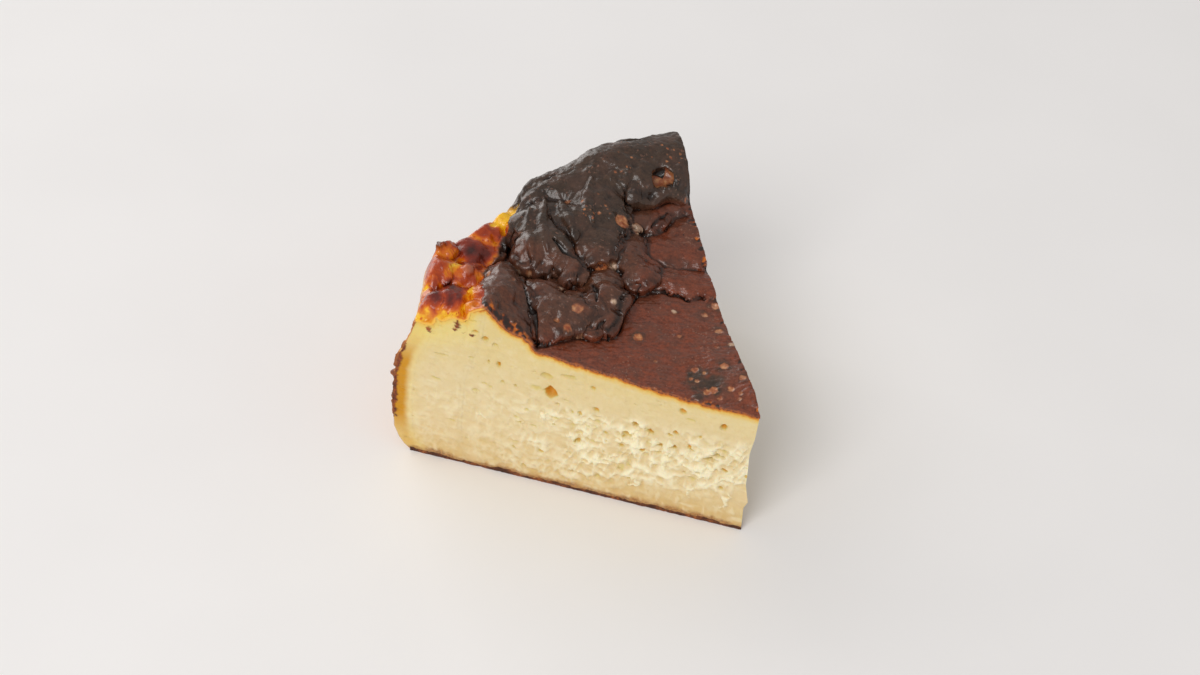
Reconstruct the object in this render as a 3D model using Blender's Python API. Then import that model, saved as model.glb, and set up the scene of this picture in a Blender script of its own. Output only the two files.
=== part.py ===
"""One wedge of a burnt Basque cheesecake, modelled as the single solid it is.

The slice stands on its baked base. Its frame: the near cut face looks along -Y, the outer rim lies
toward -X, the tip toward +X, and +Z is up. Sizes are millimetres, turned into metres at the end.
"""
import bmesh
import bpy
import numpy as np

MM = 0.001

# The wedge
SLICE_ANGLE = np.radians(57.7)      # between the two cuts, seen from above
TIP_LEAN = 3.0                      # how far the top of the tip stands out over its foot
PLATEAU_HEIGHT = 35.0               # top of the sunken middle, at the tip
BASE_SKIN = 0.5                     # the burnt skin under the custard, below height zero
PLATEAU_RISE = 4.2                  # how much higher that top is where the rim folds begin
FAR_SIDE_RISE = 2.2                 # how much higher the far side of the tip stands
FAR_SIDE_REACH = 34.0               # and how far from the tip that lasts
FOLDS_BEGIN = 62.0                  # distance from the tip where the top has risen fully
RIM_ROUNDING = 2.5                  # width of the round shoulder between top and wall

# Outer wall: height above the base against distance from the tip's foot
WALL_HEIGHTS = (0.0, 1.2, 3.0, 6.0, 13.5, 18.0, 24.0, 28.5, 31.0, 35.0, 38.5, 43.0)
WALL_RADII = (80.9, 82.3, 83.5, 84.6, 84.6, 84.1, 83.5, 82.3, 80.9, 79.2, 77.9, 77.3)
WALL_STANDS_OUT = 6.2               # away from the near cut the wall leans in this much less
WALL_LEANS_FROM = 24.0              # height where that lean begins
WALL_DIP = 1.6                      # how far the wall draws in again beside the golden nodules
WALL_DIP_ANGLE = 21.0               # and at how many degrees from the near cut
WALL_DIP_WIDTH = 4.0
WALL_STANDS_BACK = 1.1              # how far it draws in below the back lump
WALL_TOP = 39.0                     # height where the wall turns into the top
WALL_TOP_RISE = 1.6                 # and how much higher that is below the tall back lump
WALL_TOP_SWELL = 0.8                # its gentle rise and fall round the cake
LUMP_ANGLES = (26.0, 45.0)          # degrees over which the wall rises to the back lump
BULGE_RADIUS = 84.0                 # the wall's widest circle, for lengths round it
PAPER_FOLD_DEPTH = 0.8              # the dents that folded baking paper left in the wall
PAPER_FOLD_PITCH = 9.0
PAPER_FOLD_PATCH = 26.0             # size of the stretches that are folded or smooth

# Puffed lobes of the top. Each lobe is a few rolls melted together, each roll a pair of ends
# (x, y, radius, top height), and it rises with a round edge from its own foot height.
LOBES = {
    "near lobe": (37.0, 0.60, (
        ((-62.6, -1.0, 5.2, 48.2), (-63.4, 12.5, 5.2, 47.2)),
        ((-56.0, 0.0, 6.2, 42.6), (-60.5, 11.0, 5.8, 45.0)),
        ((-61.0, 4.0, 7.0, 46.0), (-62.0, 13.0, 5.6, 46.5)))),
    "middle lobe": (37.3, 0.50, (
        ((-54.0, 15.5, 6.2, 44.3), (-49.0, 6.0, 4.2, 41.0)),
        ((-50.5, 12.0, 5.2, 43.8), (-44.6, 16.2, 4.6, 43.0)))),
    "standing fold": (37.3, 0.50, (
        ((-43.5, 26.0, 4.8, 42.8), (-40.5, 19.5, 4.8, 43.6)),
        ((-40.5, 19.5, 4.8, 43.6), (-39.6, 12.6, 4.0, 41.3)))),
    "inner lobe": (37.5, 0.48, (
        ((-41.5, 37.5, 6.5, 44.6), (-38.0, 32.0, 5.2, 42.8)),
        ((-39.0, 34.5, 6.0, 43.8), (-35.5, 33.5, 4.6, 42.0)))),
    "upper fold": (37.5, 0.38, (
        ((-36.0, 43.0, 8.0, 42.2), (-27.0, 47.0, 7.8, 42.0)),
        ((-31.0, 52.0, 6.5, 43.5), (-25.0, 54.0, 8.0, 43.5)))),
    "lower fold": (36.3, 0.36, (
        ((-29.5, 34.6, 5.8, 40.3), (-18.0, 37.0, 5.4, 38.6)),)),
    "shelf": (38.0, 0.42, (
        ((-46.0, 44.0, 5.6, 45.3), (-38.0, 54.0, 6.0, 45.2)),
        ((-34.0, 55.0, 5.0, 44.6), (-26.0, 57.0, 5.0, 44.6)))),
    "back lump": (39.0, 0.50, (
        ((-41.0, 65.0, 13.2, 55.0), (-53.0, 57.0, 12.6, 55.6)),
        ((-52.0, 44.0, 11.0, 51.6), (-48.0, 35.5, 8.0, 47.6)),
        ((-65.0, 44.0, 9.0, 51.3), (-54.5, 53.5, 12.0, 54.2)))),
    "back lobe": (39.5, 0.50, (
        ((-62.6, 36.0, 8.0, 49.8), (-58.0, 29.5, 7.0, 47.8)),
        ((-58.0, 29.5, 7.0, 47.8), (-50.5, 25.8, 4.6, 45.4)))),
}
# Blistered nodules of the golden rim: x, y, radius, top height
NODULES = (
    (-71.2, 5.0, 5.2, 45.2), (-78.3, 13.0, 5.4, 47.0), (-72.4, 15.0, 5.0, 45.6),
    (-75.6, 24.5, 6.4, 44.6), (-74.6, 31.5, 5.4, 45.4), (-70.3, 37.0, 4.4, 45.8),
    (-76.8, 4.8, 3.8, 45.0), (-80.4, 18.8, 3.6, 47.4), (-75.8, -0.5, 2.8, 44.6),
    (-68.0, -1.0, 4.5, 42.8),
)
NODULE_FOOT = 40.5
NODULE_EDGE = 0.6
LOBE_MELT = 0.9                     # how softly the rolls of one lobe run together
NODULE_MELT = 0.5
CREASE_MELT = 0.18                  # and how sharply one lobe meets the next
OUTLINE_WANDER = ((0.9, 9.0), (0.35, 3.4))      # how far the lobes' outlines stray, over what length
PLATEAU_SWELL = (0.15, 7.0)         # the same for the height of the sunken middle
FLANK_PUSH = 0.28                   # a lobe's steep flank bulges out by this share of its height
FLANK_PUSH_LIMIT = 1.8
FLANK_REACH = 2.2                   # distance over which a flank's height is measured
FLANK_SLOPES = (0.8, 2.2)           # slopes between which a flank starts to bulge
CUT_HOLD = 2.5                      # near a cut nothing bulges, so that the cuts stay flat
WALL_HOLD = 4.0

# The mesh
TOP_RINGS = 80                      # rings of triangles from tip to rim
WALL_ROWS = 22
SETTLE_ROUNDS = 40


def waves(x, y, size, seed, count=24):
    """An even random swell: `count` sine waves of about one size in seeded random directions."""
    rng = np.random.default_rng(seed)
    turns = rng.uniform(0, 2 * np.pi, count)
    pitches = 2 * np.pi / (size * rng.uniform(0.7, 1.6, count))
    phases = rng.uniform(0, 2 * np.pi, count)
    total = np.zeros(np.shape(x))
    for turn, pitch, phase in zip(turns, pitches, phases):
        total += np.sin(pitch * (x * np.cos(turn) + y * np.sin(turn)) + phase)
    return total / np.sqrt(1.3 * count)


def ease(value, low, high):
    """0 below low, 1 above high, and a smooth S between."""
    t = np.clip((value - low) / (high - low), 0, 1)
    return t * t * (3 - 2 * t)


def melt(layers, softness):
    """The highest of several surfaces, rounded where they meet."""
    peak = np.maximum.reduce(layers)
    spread = sum(np.exp((layer - peak) / softness) for layer in layers)
    return peak + softness * np.log(spread / 1.15)


def roll(x, y, ends, foot, edge):
    """A tapered roll lying between two ends; beyond its radius it dips below its foot."""
    (x0, y0, r0, z0), (x1, y1, r1, z1) = ends
    dx, dy = x1 - x0, y1 - y0
    along = np.clip(((x - x0) * dx + (y - y0) * dy) / (dx * dx + dy * dy), 0, 1)
    radius = r0 + (r1 - r0) * along
    top = z0 + (z1 - z0) * along
    off = np.hypot(x - x0 - along * dx, y - y0 - along * dy) / radius
    raised = foot + (top - foot) * np.clip(1 - off * off, 0, 1) ** edge
    return np.where(off < 1, raised, foot - 2.5 * (off - 1) * radius)


def plateau(x, y):
    """The sunken middle: low at the tip, rising gently to the rim and to the far cut."""
    reach = np.hypot(x - TIP_LEAN, y)
    turn = np.arctan2(y, TIP_LEAN - x) / SLICE_ANGLE
    rise = PLATEAU_RISE * ease(reach, 8, FOLDS_BEGIN) + ease(reach, FOLDS_BEGIN - 2, FOLDS_BEGIN + 10)
    far_side = ease(turn, 0.15, 1) * ease(reach, 0, 6) * (1 - ease(reach, 10, FAR_SIDE_REACH))
    return PLATEAU_HEIGHT - 0.5 + rise + FAR_SIDE_RISE * far_side


def crown(x, y):
    """Height of the top skin over a point of the plan: plateau, lobes and nodules melted together."""
    u = x + sum(far * waves(x, y, size, 1 + 10 * i) for i, (far, size) in enumerate(OUTLINE_WANDER))
    v = y + sum(far * waves(x, y, size, 2 + 10 * i) for i, (far, size) in enumerate(OUTLINE_WANDER))
    height = plateau(x, y) + PLATEAU_SWELL[0] * waves(x, y, PLATEAU_SWELL[1], 3)
    for foot, edge, rolls in LOBES.values():
        lobe = melt([roll(u, v, ends, foot, edge) for ends in rolls], LOBE_MELT)
        height = melt([height, lobe], CREASE_MELT)
    beads = [roll(u, v, (bead, (bead[0] + 0.3, *bead[1:])), NODULE_FOOT, NODULE_EDGE) for bead in NODULES]
    return melt([height, melt(beads, NODULE_MELT)], CREASE_MELT)


def wall_radius(height, turn):
    """Distance of the outer wall from the tip's foot, at a height and an angle round the cake."""
    degrees = np.degrees(turn)
    radius = np.interp(height, WALL_HEIGHTS, WALL_RADII)
    dip = WALL_DIP * np.exp(-((degrees - WALL_DIP_ANGLE) / WALL_DIP_WIDTH) ** 2)
    lean = WALL_STANDS_OUT * ease(degrees, -2, 14) - dip - WALL_STANDS_BACK * ease(degrees, 18, 28)
    radius = radius + lean * ease(height, WALL_LEANS_FROM, WALL_TOP + 1)
    round_wall = BULGE_RADIUS * turn
    folds = waves(round_wall, height * 0.25, PAPER_FOLD_PITCH, 5, 16)
    folded = 0.25 + ease(waves(round_wall, height * 0.8, PAPER_FOLD_PATCH, 6), -0.6, 1)
    return radius + PAPER_FOLD_DEPTH * folds * folded * ease(degrees, 0.5, 6) * ease(height, -1, 8)


def wall_top(turn):
    """Height where the wall turns into the top, at an angle round the cake."""
    swell = WALL_TOP_SWELL * np.sin(9 * turn)
    return WALL_TOP + swell + WALL_TOP_RISE * ease(np.degrees(turn), *LUMP_ANGLES)


def spoke(reach, turn, height):
    """The point at a distance and angle from the tip, which leans out with height."""
    lean = TIP_LEAN * height / PLATEAU_HEIGHT
    return np.stack([lean - reach * np.cos(turn), reach * np.sin(turn), height], axis=-1)


def rim_reach(turn, height):
    """Distance from the leaning tip to the wall."""
    return wall_radius(height, turn) + TIP_LEAN * height / PLATEAU_HEIGHT * np.cos(turn)


def ring_start(ring):
    """Index of the first point of a ring, when ring k has k + 1 points."""
    return ring * (ring + 1) // 2


def fan(rings):
    """A wedge of triangles: ring k has k + 1 points. Returns ring share, angle and triangles."""
    ring = np.repeat(np.arange(rings + 1), np.arange(rings + 1) + 1)
    place = np.arange(ring.size) - ring_start(ring)
    share = ring / rings
    turn = SLICE_ANGLE * np.where(ring > 0, place / np.maximum(ring, 1), 0.5)
    k = np.repeat(np.arange(1, rings + 1), np.arange(1, rings + 1))
    j = np.arange(k.size) - ring_start(k) + k
    outward = np.stack([ring_start(k - 1) + j, ring_start(k) + j + 1, ring_start(k) + j], axis=1)
    k, j = k[j < k - 1], j[j < k - 1]
    inward = np.stack([ring_start(k - 1) + j, ring_start(k - 1) + j + 1, ring_start(k) + j + 1], axis=1)
    return share, turn, np.concatenate([outward, inward])


def settle(x, y, triangles, on_near, on_far, fixed):
    """Slides the plan points toward steep flanks, until the edges over them are about equally long."""
    edges = np.unique(np.sort(np.concatenate([triangles[:, [0, 1]], triangles[:, [1, 2]],
                                              triangles[:, [2, 0]]]), axis=1), axis=0)
    a, b = edges.T
    along_far = np.array([-np.cos(SLICE_ANGLE), np.sin(SLICE_ANGLE)])
    for _ in range(SETTLE_ROUNDS):
        z = crown(x, y)
        pull = np.sqrt((x[a] - x[b]) ** 2 + (y[a] - y[b]) ** 2 + (z[a] - z[b]) ** 2)
        weight = np.bincount(a, pull, x.size) + np.bincount(b, pull, x.size)
        new_x = (np.bincount(a, pull * x[b], x.size) + np.bincount(b, pull * x[a], x.size)) / weight
        new_y = (np.bincount(a, pull * y[b], x.size) + np.bincount(b, pull * y[a], x.size)) / weight
        new_y[on_near] = 0.0
        slide = (new_x[on_far] - TIP_LEAN) * along_far[0] + new_y[on_far] * along_far[1]
        new_x[on_far] = TIP_LEAN + slide * along_far[0]
        new_y[on_far] = slide * along_far[1]
        new_x[fixed], new_y[fixed] = x[fixed], y[fixed]
        x, y = (x + new_x) / 2, (y + new_y) / 2
    return x, y


def flank_push(x, y, z):
    """Sideways bulge of a steep flank: down its slope, greatest at half its height."""
    slope_x = crown(x + 0.5, y) - crown(x - 0.5, y)
    slope_y = crown(x, y + 0.5) - crown(x, y - 0.5)
    slope = np.hypot(slope_x, slope_y)
    sides = [crown(x + FLANK_REACH * i, y + FLANK_REACH * j) for i, j in ((1, 0), (-1, 0), (0, 1), (0, -1))]
    low, high = np.minimum.reduce(sides), np.maximum.reduce(sides)
    level = np.clip((z - low) / np.maximum(high - low, 0.5), 0, 1)
    push = FLANK_PUSH * (high - low) * ease(slope, *FLANK_SLOPES) * np.sin(np.pi * level)
    push = np.minimum(push, FLANK_PUSH_LIMIT) / (slope + 1e-6)
    return -push * slope_x, -push * slope_y


def top_skin():
    """Points and triangles of the top, from the tip out to the wall."""
    share, turn, triangles = fan(TOP_RINGS)
    reach = share * rim_reach(turn, wall_top(turn))
    x, y = TIP_LEAN - reach * np.cos(turn), reach * np.sin(turn)
    x, y = settle(x, y, triangles, turn == 0, turn == SLICE_ANGLE, (share == 0) | (share == 1))
    z = crown(x, y)
    reach, turn = np.hypot(x - TIP_LEAN, y), np.arctan2(y, TIP_LEAN - x)
    edge = rim_reach(turn, wall_top(turn))
    push_x, push_y = flank_push(x, y, z)
    from_far_cut = reach * np.sin(SLICE_ANGLE - turn)
    hold = ease(y, 0, CUT_HOLD) * ease(from_far_cut, 0, CUT_HOLD) * ease(edge - reach, 0.5, WALL_HOLD)
    shoulder = np.clip((reach - edge + RIM_ROUNDING) / RIM_ROUNDING, 0, 1)
    z = wall_top(turn) + (z - wall_top(turn)) * np.sqrt(1 - shoulder ** 2)
    lean = TIP_LEAN * (z / PLATEAU_HEIGHT - 1)
    return np.stack([x + lean + push_x * hold, y + push_y * hold, z], axis=1), triangles


def slice_mesh():
    """The closed solid: top skin, outer wall, then one flat face each for the cuts and the base."""
    bm = bmesh.new()
    points, triangles = top_skin()
    top = [bm.verts.new(point) for point in points]
    for corners in triangles:
        bm.faces.new([top[i] for i in corners])
    rings = TOP_RINGS
    near_edge = [top[ring_start(k)] for k in range(rings + 1)]
    far_edge = [top[ring_start(k) + k] for k in range(rings + 1)]
    rows = [top[-(rings + 1):]]
    turn = SLICE_ANGLE * np.arange(rings + 1) / rings
    for row in range(WALL_ROWS - 1, -1, -1):
        height = (wall_top(turn) + BASE_SKIN) * row / WALL_ROWS - BASE_SKIN
        rows.append([bm.verts.new(point) for point in spoke(rim_reach(turn, height), turn, height)])
    for upper, lower in zip(rows, rows[1:]):
        for j in range(rings):
            bm.faces.new((upper[j], upper[j + 1], lower[j + 1]))
            bm.faces.new((upper[j], lower[j + 1], lower[j]))
    foot = bm.verts.new((-TIP_LEAN * BASE_SKIN / PLATEAU_HEIGHT, 0, -BASE_SKIN))
    bm.faces.new([foot] + near_edge + [row[0] for row in rows[1:]])
    bm.faces.new([foot] + [row[-1] for row in rows[:0:-1]] + far_edge[::-1])
    bm.faces.new([foot] + rows[-1])
    flat_faces = [face for face in bm.faces if len(face.verts) > 3]
    bmesh.ops.triangulate(bm, faces=flat_faces, ngon_method="EAR_CLIP")
    low = np.min([vert.co for vert in bm.verts], axis=0)
    high = np.max([vert.co for vert in bm.verts], axis=0)
    middle = np.array([(low[0] + high[0]) / 2, (low[1] + high[1]) / 2, -BASE_SKIN])
    for vert in bm.verts:
        vert.co = (np.array(vert.co) - middle) * MM
    mesh = bpy.data.meshes.new("cheesecake_slice")
    bm.to_mesh(mesh)
    bm.free()
    return mesh


def burnt_crust():
    """Dark red-brown baked skin."""
    material = bpy.data.materials.new("burnt_crust")
    material.use_nodes = True
    shader = material.node_tree.nodes["Principled BSDF"]
    shader.inputs["Base Color"].default_value = (0.10, 0.038, 0.022, 1)
    shader.inputs["Roughness"].default_value = 0.45
    shader.inputs["Metallic"].default_value = 0.0
    return material


def custard():
    """Pale, moist set custard of the cut faces."""
    material = bpy.data.materials.new("custard")
    material.use_nodes = True
    shader = material.node_tree.nodes["Principled BSDF"]
    shader.inputs["Base Color"].default_value = (0.76, 0.58, 0.33, 1)
    shader.inputs["Roughness"].default_value = 0.5
    shader.inputs["Metallic"].default_value = 0.0
    return material


for old in list(bpy.data.objects):
    bpy.data.objects.remove(old, do_unlink=True)

mesh = slice_mesh()
mesh.materials.append(custard())
mesh.materials.append(burnt_crust())
for polygon in mesh.polygons:
    polygon.material_index = int(polygon.normal.z > 0.05)
mesh.shade_smooth()
mesh.set_sharp_from_angle(angle=np.radians(50))
cheesecake = bpy.data.objects.new("cheesecake_slice", mesh)
bpy.context.scene.collection.objects.link(cheesecake)
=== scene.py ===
"""The looks of one wedge of burnt Basque cheesecake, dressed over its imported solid.

Sizes are millimetres from the foot of the slice's tip: x grows toward the tip, so the outer rim lies at
minus 80, y runs from the near cut to the far one, and z goes up from the custard's underside.
"""
import itertools

import bpy
import numpy as np
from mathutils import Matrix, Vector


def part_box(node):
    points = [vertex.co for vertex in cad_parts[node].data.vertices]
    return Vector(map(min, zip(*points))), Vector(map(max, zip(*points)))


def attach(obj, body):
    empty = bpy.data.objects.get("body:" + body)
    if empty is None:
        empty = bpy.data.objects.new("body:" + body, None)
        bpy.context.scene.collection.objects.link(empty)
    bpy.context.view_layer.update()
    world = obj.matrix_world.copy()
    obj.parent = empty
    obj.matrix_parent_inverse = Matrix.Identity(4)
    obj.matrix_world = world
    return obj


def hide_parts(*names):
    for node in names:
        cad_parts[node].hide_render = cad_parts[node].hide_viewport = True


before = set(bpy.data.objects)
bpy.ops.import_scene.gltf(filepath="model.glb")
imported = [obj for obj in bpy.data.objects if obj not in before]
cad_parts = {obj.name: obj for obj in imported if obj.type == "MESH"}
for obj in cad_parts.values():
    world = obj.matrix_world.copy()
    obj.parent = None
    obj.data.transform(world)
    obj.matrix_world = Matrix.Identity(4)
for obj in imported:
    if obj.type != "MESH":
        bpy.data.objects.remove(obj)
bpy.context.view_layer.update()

# ---------------------------------------------------------------------------------------------------------
# The camera: a long lens some 60 cm away, looking 39 degrees down on the near cut from right of its middle.
# The tip's foot, from which everything is measured, stands on the thin burnt skin under the custard.

BASE_SKIN = 0.5                     # thickness of the burnt skin that the custard stands on
TIP_STANDS_OUT = 2.93               # how far the top of the tip stands out over its foot
CAMERA_PLACE = (117.9, -439.1, 418.8)
CAMERA_TURN = (51.251, -0.401, 19.422)
LENS = 81.7

solid_low, solid_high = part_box("cheesecake_slice")
TIP_FOOT = np.array([solid_high.x * 1000 - TIP_STANDS_OUT, solid_low.y * 1000, BASE_SKIN])


def from_tip(points):
    """Millimetres from the tip's foot, as metres in the frame."""
    return (np.asarray(points) + TIP_FOOT) / 1000


camera = bpy.data.objects.new("camera", bpy.data.cameras.new("camera"))
camera.data.sensor_width = 36
camera.data.lens = LENS
camera.location = from_tip(CAMERA_PLACE)
camera.rotation_euler = np.radians(CAMERA_TURN)
bpy.context.scene.collection.objects.link(camera)
bpy.context.scene.camera = camera
bpy.context.scene.view_settings.view_transform = "Standard"

# ---------------------------------------------------------------------------------------------------------
# The burnt top: the skin that the oven's heat scorched on the custard, red-brown and finely wrinkled over
# the sunken middle, near black on the puffed lobes, and golden and glossy where the rim blistered. It is a
# shell under a millimetre thick that follows the solid's form, with the fine relief of the real skin.

SLICE_ANGLE = np.radians(57.7)      # between the two cuts, seen from above
TIP_LEAN = 3.0                      # how far the tip's edge leans out over the height of the plateau
PLATEAU_HEIGHT = 35.0
PLATEAU_RISE = 4.2                  # from the tip to where the folds begin
FAR_SIDE_RISE = 2.2                 # toward the far cut, up to its reach from the tip
FAR_SIDE_REACH = 34.0
FOLDS_BEGIN = 62.0
RIM_ROUNDING = 2.5
WALL_HEIGHTS = (0.0, 1.2, 3.0, 6.0, 13.5, 18.0, 24.0, 28.5, 31.0, 35.0, 38.5, 43.0)
WALL_RADII = (80.9, 82.3, 83.5, 84.6, 84.6, 84.1, 83.5, 82.3, 80.9, 79.2, 77.9, 77.3)
WALL_STANDS_OUT = 6.2               # of the rim past those radii, away from the near cut
WALL_LEANS_FROM = 24.0
WALL_DIP, WALL_DIP_ANGLE, WALL_DIP_WIDTH = 1.6, 21.0, 4.0
WALL_STANDS_BACK = 1.1              # of the rim again, behind the dip
WALL_TOP = 39.0
WALL_TOP_RISE = 1.6                 # under the lump, between its angles
LUMP_ANGLES = (26.0, 45.0)
WALL_TOP_SWELL = 0.8
BULGE_RADIUS = 84.0
PAPER_FOLD_DEPTH, PAPER_FOLD_PITCH, PAPER_FOLD_PATCH = 0.8, 9.0, 26.0

# Each lobe is a few rolls melted together: foot height, edge power at the near cut and further in, and each
# roll's two ends as x, y, radius and top height
LOBES = {
    "near lobe": (37.0, (0.60, 0.40), (
        ((-62.6, -1.0, 5.2, 48.2), (-63.4, 12.5, 5.2, 47.2)),
        ((-56.0, 0.0, 6.2, 42.6), (-60.5, 11.0, 5.8, 45.0)),
        ((-61.0, 4.0, 7.0, 46.0), (-62.0, 13.0, 5.6, 46.5)),
        ((-62.5, 8.0, 5.6, 47.2), (-64.6, 14.6, 4.9, 46.3)),
        ((-56.6, 4.5, 5.8, 43.0), (-58.2, 11.5, 6.0, 45.0)))),
    "middle lobe": (37.3, (0.50, 0.36), (
        ((-54.0, 15.5, 6.2, 44.3), (-49.0, 6.0, 4.2, 41.0)),
        ((-50.5, 12.0, 5.2, 43.8), (-44.6, 16.2, 4.6, 43.0)),
        ((-48.0, 9.5, 4.8, 42.0), (-43.0, 13.6, 4.6, 42.7)))),
    "standing fold": (37.3, (0.50, 0.38), (
        ((-43.5, 26.0, 4.8, 42.8), (-40.5, 19.5, 4.8, 43.6)),
        ((-40.5, 19.5, 4.8, 43.6), (-39.6, 12.6, 4.0, 41.3)))),
    "inner lobe": (37.5, (0.48, 0.38), (
        ((-41.5, 37.5, 6.5, 44.6), (-38.0, 32.0, 5.2, 42.8)),
        ((-39.0, 34.5, 6.0, 43.8), (-35.5, 33.5, 4.6, 42.0)))),
    "upper fold": (37.5, (0.38, 0.38), (
        ((-36.0, 43.0, 8.0, 42.2), (-27.0, 47.0, 7.8, 42.0)),
        ((-31.0, 52.0, 6.5, 43.5), (-25.0, 54.0, 8.0, 43.5)))),
    "lower fold": (36.3, (0.36, 0.36), (
        ((-29.5, 34.6, 5.8, 40.3), (-18.0, 37.0, 5.4, 38.6)),)),
    "shelf": (38.0, (0.42, 0.42), (
        ((-46.0, 44.0, 5.6, 45.3), (-38.0, 54.0, 6.0, 45.2)),
        ((-34.0, 55.0, 5.0, 44.6), (-26.0, 57.0, 5.0, 44.6)))),
    "back lump": (39.0, (0.50, 0.50), (
        ((-41.0, 65.0, 13.2, 55.0), (-53.0, 57.0, 12.6, 55.6)),
        ((-52.0, 44.0, 11.0, 51.6), (-48.0, 35.5, 8.0, 47.6)),
        ((-65.0, 44.0, 9.0, 51.3), (-54.5, 53.5, 12.0, 54.2)),
        ((-61.0, 37.5, 5.5, 49.6), (-54.0, 37.5, 7.0, 50.4)))),
    "back lobe": (39.5, (0.50, 0.50), (
        ((-62.6, 36.0, 8.0, 49.8), (-58.0, 29.5, 7.0, 47.8)),
        ((-58.0, 29.5, 7.0, 47.8), (-50.5, 25.8, 4.6, 45.4)))),
}
# Blistered nodules of the golden rim: x, y, radius, top height
NODULES = (
    (-71.2, 5.0, 5.2, 45.2), (-78.3, 13.0, 5.4, 47.0), (-72.4, 15.0, 5.0, 45.6),
    (-75.6, 24.5, 6.4, 44.6), (-74.6, 31.5, 5.4, 45.4), (-70.3, 37.0, 4.4, 45.8),
    (-78.9, 6.4, 3.4, 43.6), (-80.4, 18.8, 3.6, 47.4), (-75.2, 3.6, 4.4, 44.9),
    (-68.0, -1.0, 4.5, 42.8),
)
NODULE_FOOT = 40.5
NODULE_EDGE = (0.6, 0.6)
LOBE_MELT = 0.9                     # how softly the rolls of one lobe run together
NODULE_MELT = 0.8                   # the same for the nodules
CREASE_MELT = 0.18                  # and for one form and the next, which leaves a crease
OUTLINE_WANDER = ((0.9, 9.0), (0.35, 3.4))  # how far the outlines waver, and over which length
PLATEAU_SWELL = (0.15, 7.0)         # the same for the plateau's height
FLANK_PUSH, FLANK_PUSH_LIMIT = 0.28, 1.8    # sideways bulge of the steep flanks, as a share of their height
FLANK_REACH = 2.2                   # how far round a point its flank is looked for
FLANK_SLOPES = (0.8, 2.2)           # and from which slope it counts as one
CUT_HOLD, WALL_HOLD = 2.5, 4.0      # within which of the cuts and of the wall nothing bulges

CRUST_THICKNESS = 0.75
COARSE_RINGS = 80                   # rings of triangles in which the plan points settle
SPLIT = 4                           # and how many parts each edge has in the fine skin
UNDER_SPLIT = 2                     # the underside has that many times fewer rings than the skin
INNER_DEPTH = 1.0                   # least depth of the hidden underside under the crown
SETTLE_ROUNDS = 40


def waves(x, y, size, seed, count=24):
    """An even random swell: `count` sine waves of about one size in seeded random directions."""
    rng = np.random.default_rng(seed)
    turns = rng.uniform(0, 2 * np.pi, count)
    pitches = 2 * np.pi / (size * rng.uniform(0.7, 1.6, count))
    phases = rng.uniform(0, 2 * np.pi, count)
    total = np.zeros(np.shape(x))
    for turn, pitch, phase in zip(turns, pitches, phases):
        total = total + np.sin(pitch * (x * np.cos(turn) + y * np.sin(turn)) + phase)
    return total / np.sqrt(1.3 * count)


def ease(value, low, high):
    """0 below low, 1 above high, and a smooth S between."""
    t = np.clip((value - low) / (high - low), 0, 1)
    return t * t * (3 - 2 * t)


def fall(value, low, high):
    """1 below low, 0 above high, and a smooth S between."""
    return 1 - ease(value, low, high)


def melt(layers, softness):
    """The highest of several surfaces, rounded where they meet."""
    peak = np.maximum.reduce(layers)
    spread = sum(np.exp((layer - peak) / softness) for layer in layers)
    return peak + softness * np.log(spread / 1.15)


def roll(x, y, ends, foot, edge):
    """A tapered roll between two ends, its section a flattened arch; past its radius it dips below."""
    (x0, y0, r0, z0), (x1, y1, r1, z1) = ends
    dx, dy = x1 - x0, y1 - y0
    along = np.clip(((x - x0) * dx + (y - y0) * dy) / (dx * dx + dy * dy), 0, 1)
    radius = r0 + (r1 - r0) * along
    top = z0 + (z1 - z0) * along
    off = np.hypot(x - x0 - along * dx, y - y0 - along * dy) / radius
    power = edge[0] + (edge[1] - edge[0]) * ease(y, 2, 8)
    raised = foot + (top - foot) * np.clip(1 - off * off, 0, 1) ** power
    return np.where(off < 1, raised, foot - 2.5 * (off - 1) * radius)


def plateau(x, y):
    """The sunken middle: low at the tip, rising gently to the rim and to the far cut."""
    reach = np.hypot(x - TIP_LEAN, y)
    turn = np.arctan2(y, TIP_LEAN - x) / SLICE_ANGLE
    rise = PLATEAU_RISE * ease(reach, 8, FOLDS_BEGIN) + ease(reach, FOLDS_BEGIN - 2, FOLDS_BEGIN + 10)
    far_side = ease(turn, 0.15, 1) * ease(reach, 0, 6) * fall(reach, 10, FAR_SIDE_REACH)
    return PLATEAU_HEIGHT - 0.5 + rise + FAR_SIDE_RISE * far_side


def wandered(x, y):
    """The plan point that the lobes' outlines are read at, so that they waver."""
    u = x + sum(far * waves(x, y, size, 1 + 10 * i) for i, (far, size) in enumerate(OUTLINE_WANDER))
    v = y + sum(far * waves(x, y, size, 2 + 10 * i) for i, (far, size) in enumerate(OUTLINE_WANDER))
    return u, v


def lobes(u, v):
    """Height of each lobe, its rolls melted together."""
    return [melt([roll(u, v, ends, foot, edge) for ends in rolls], LOBE_MELT)
            for foot, edge, rolls in LOBES.values()]


def beads(u, v):
    """Height of each nodule of the golden rim."""
    return [roll(u, v, (bead, (bead[0] + 0.3, *bead[1:])), NODULE_FOOT, NODULE_EDGE) for bead in NODULES]


def crown(x, y):
    """Height of the top skin over a point of the plan: plateau, lobes and nodules melted together."""
    u, v = wandered(x, y)
    height = plateau(x, y) + PLATEAU_SWELL[0] * waves(x, y, PLATEAU_SWELL[1], 3)
    for form in (*lobes(u, v), melt(beads(u, v), NODULE_MELT)):
        height = melt([height, form], CREASE_MELT)
    return height


def lead(x, y):
    """How far the highest of the plateau, lobes and nodules stands over the next one."""
    u, v = wandered(x, y)
    forms = np.stack([plateau(x, y), *beads(u, v), *lobes(u, v)])
    second, highest = np.sort(forms, axis=0)[-2:]
    return highest - second


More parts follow.
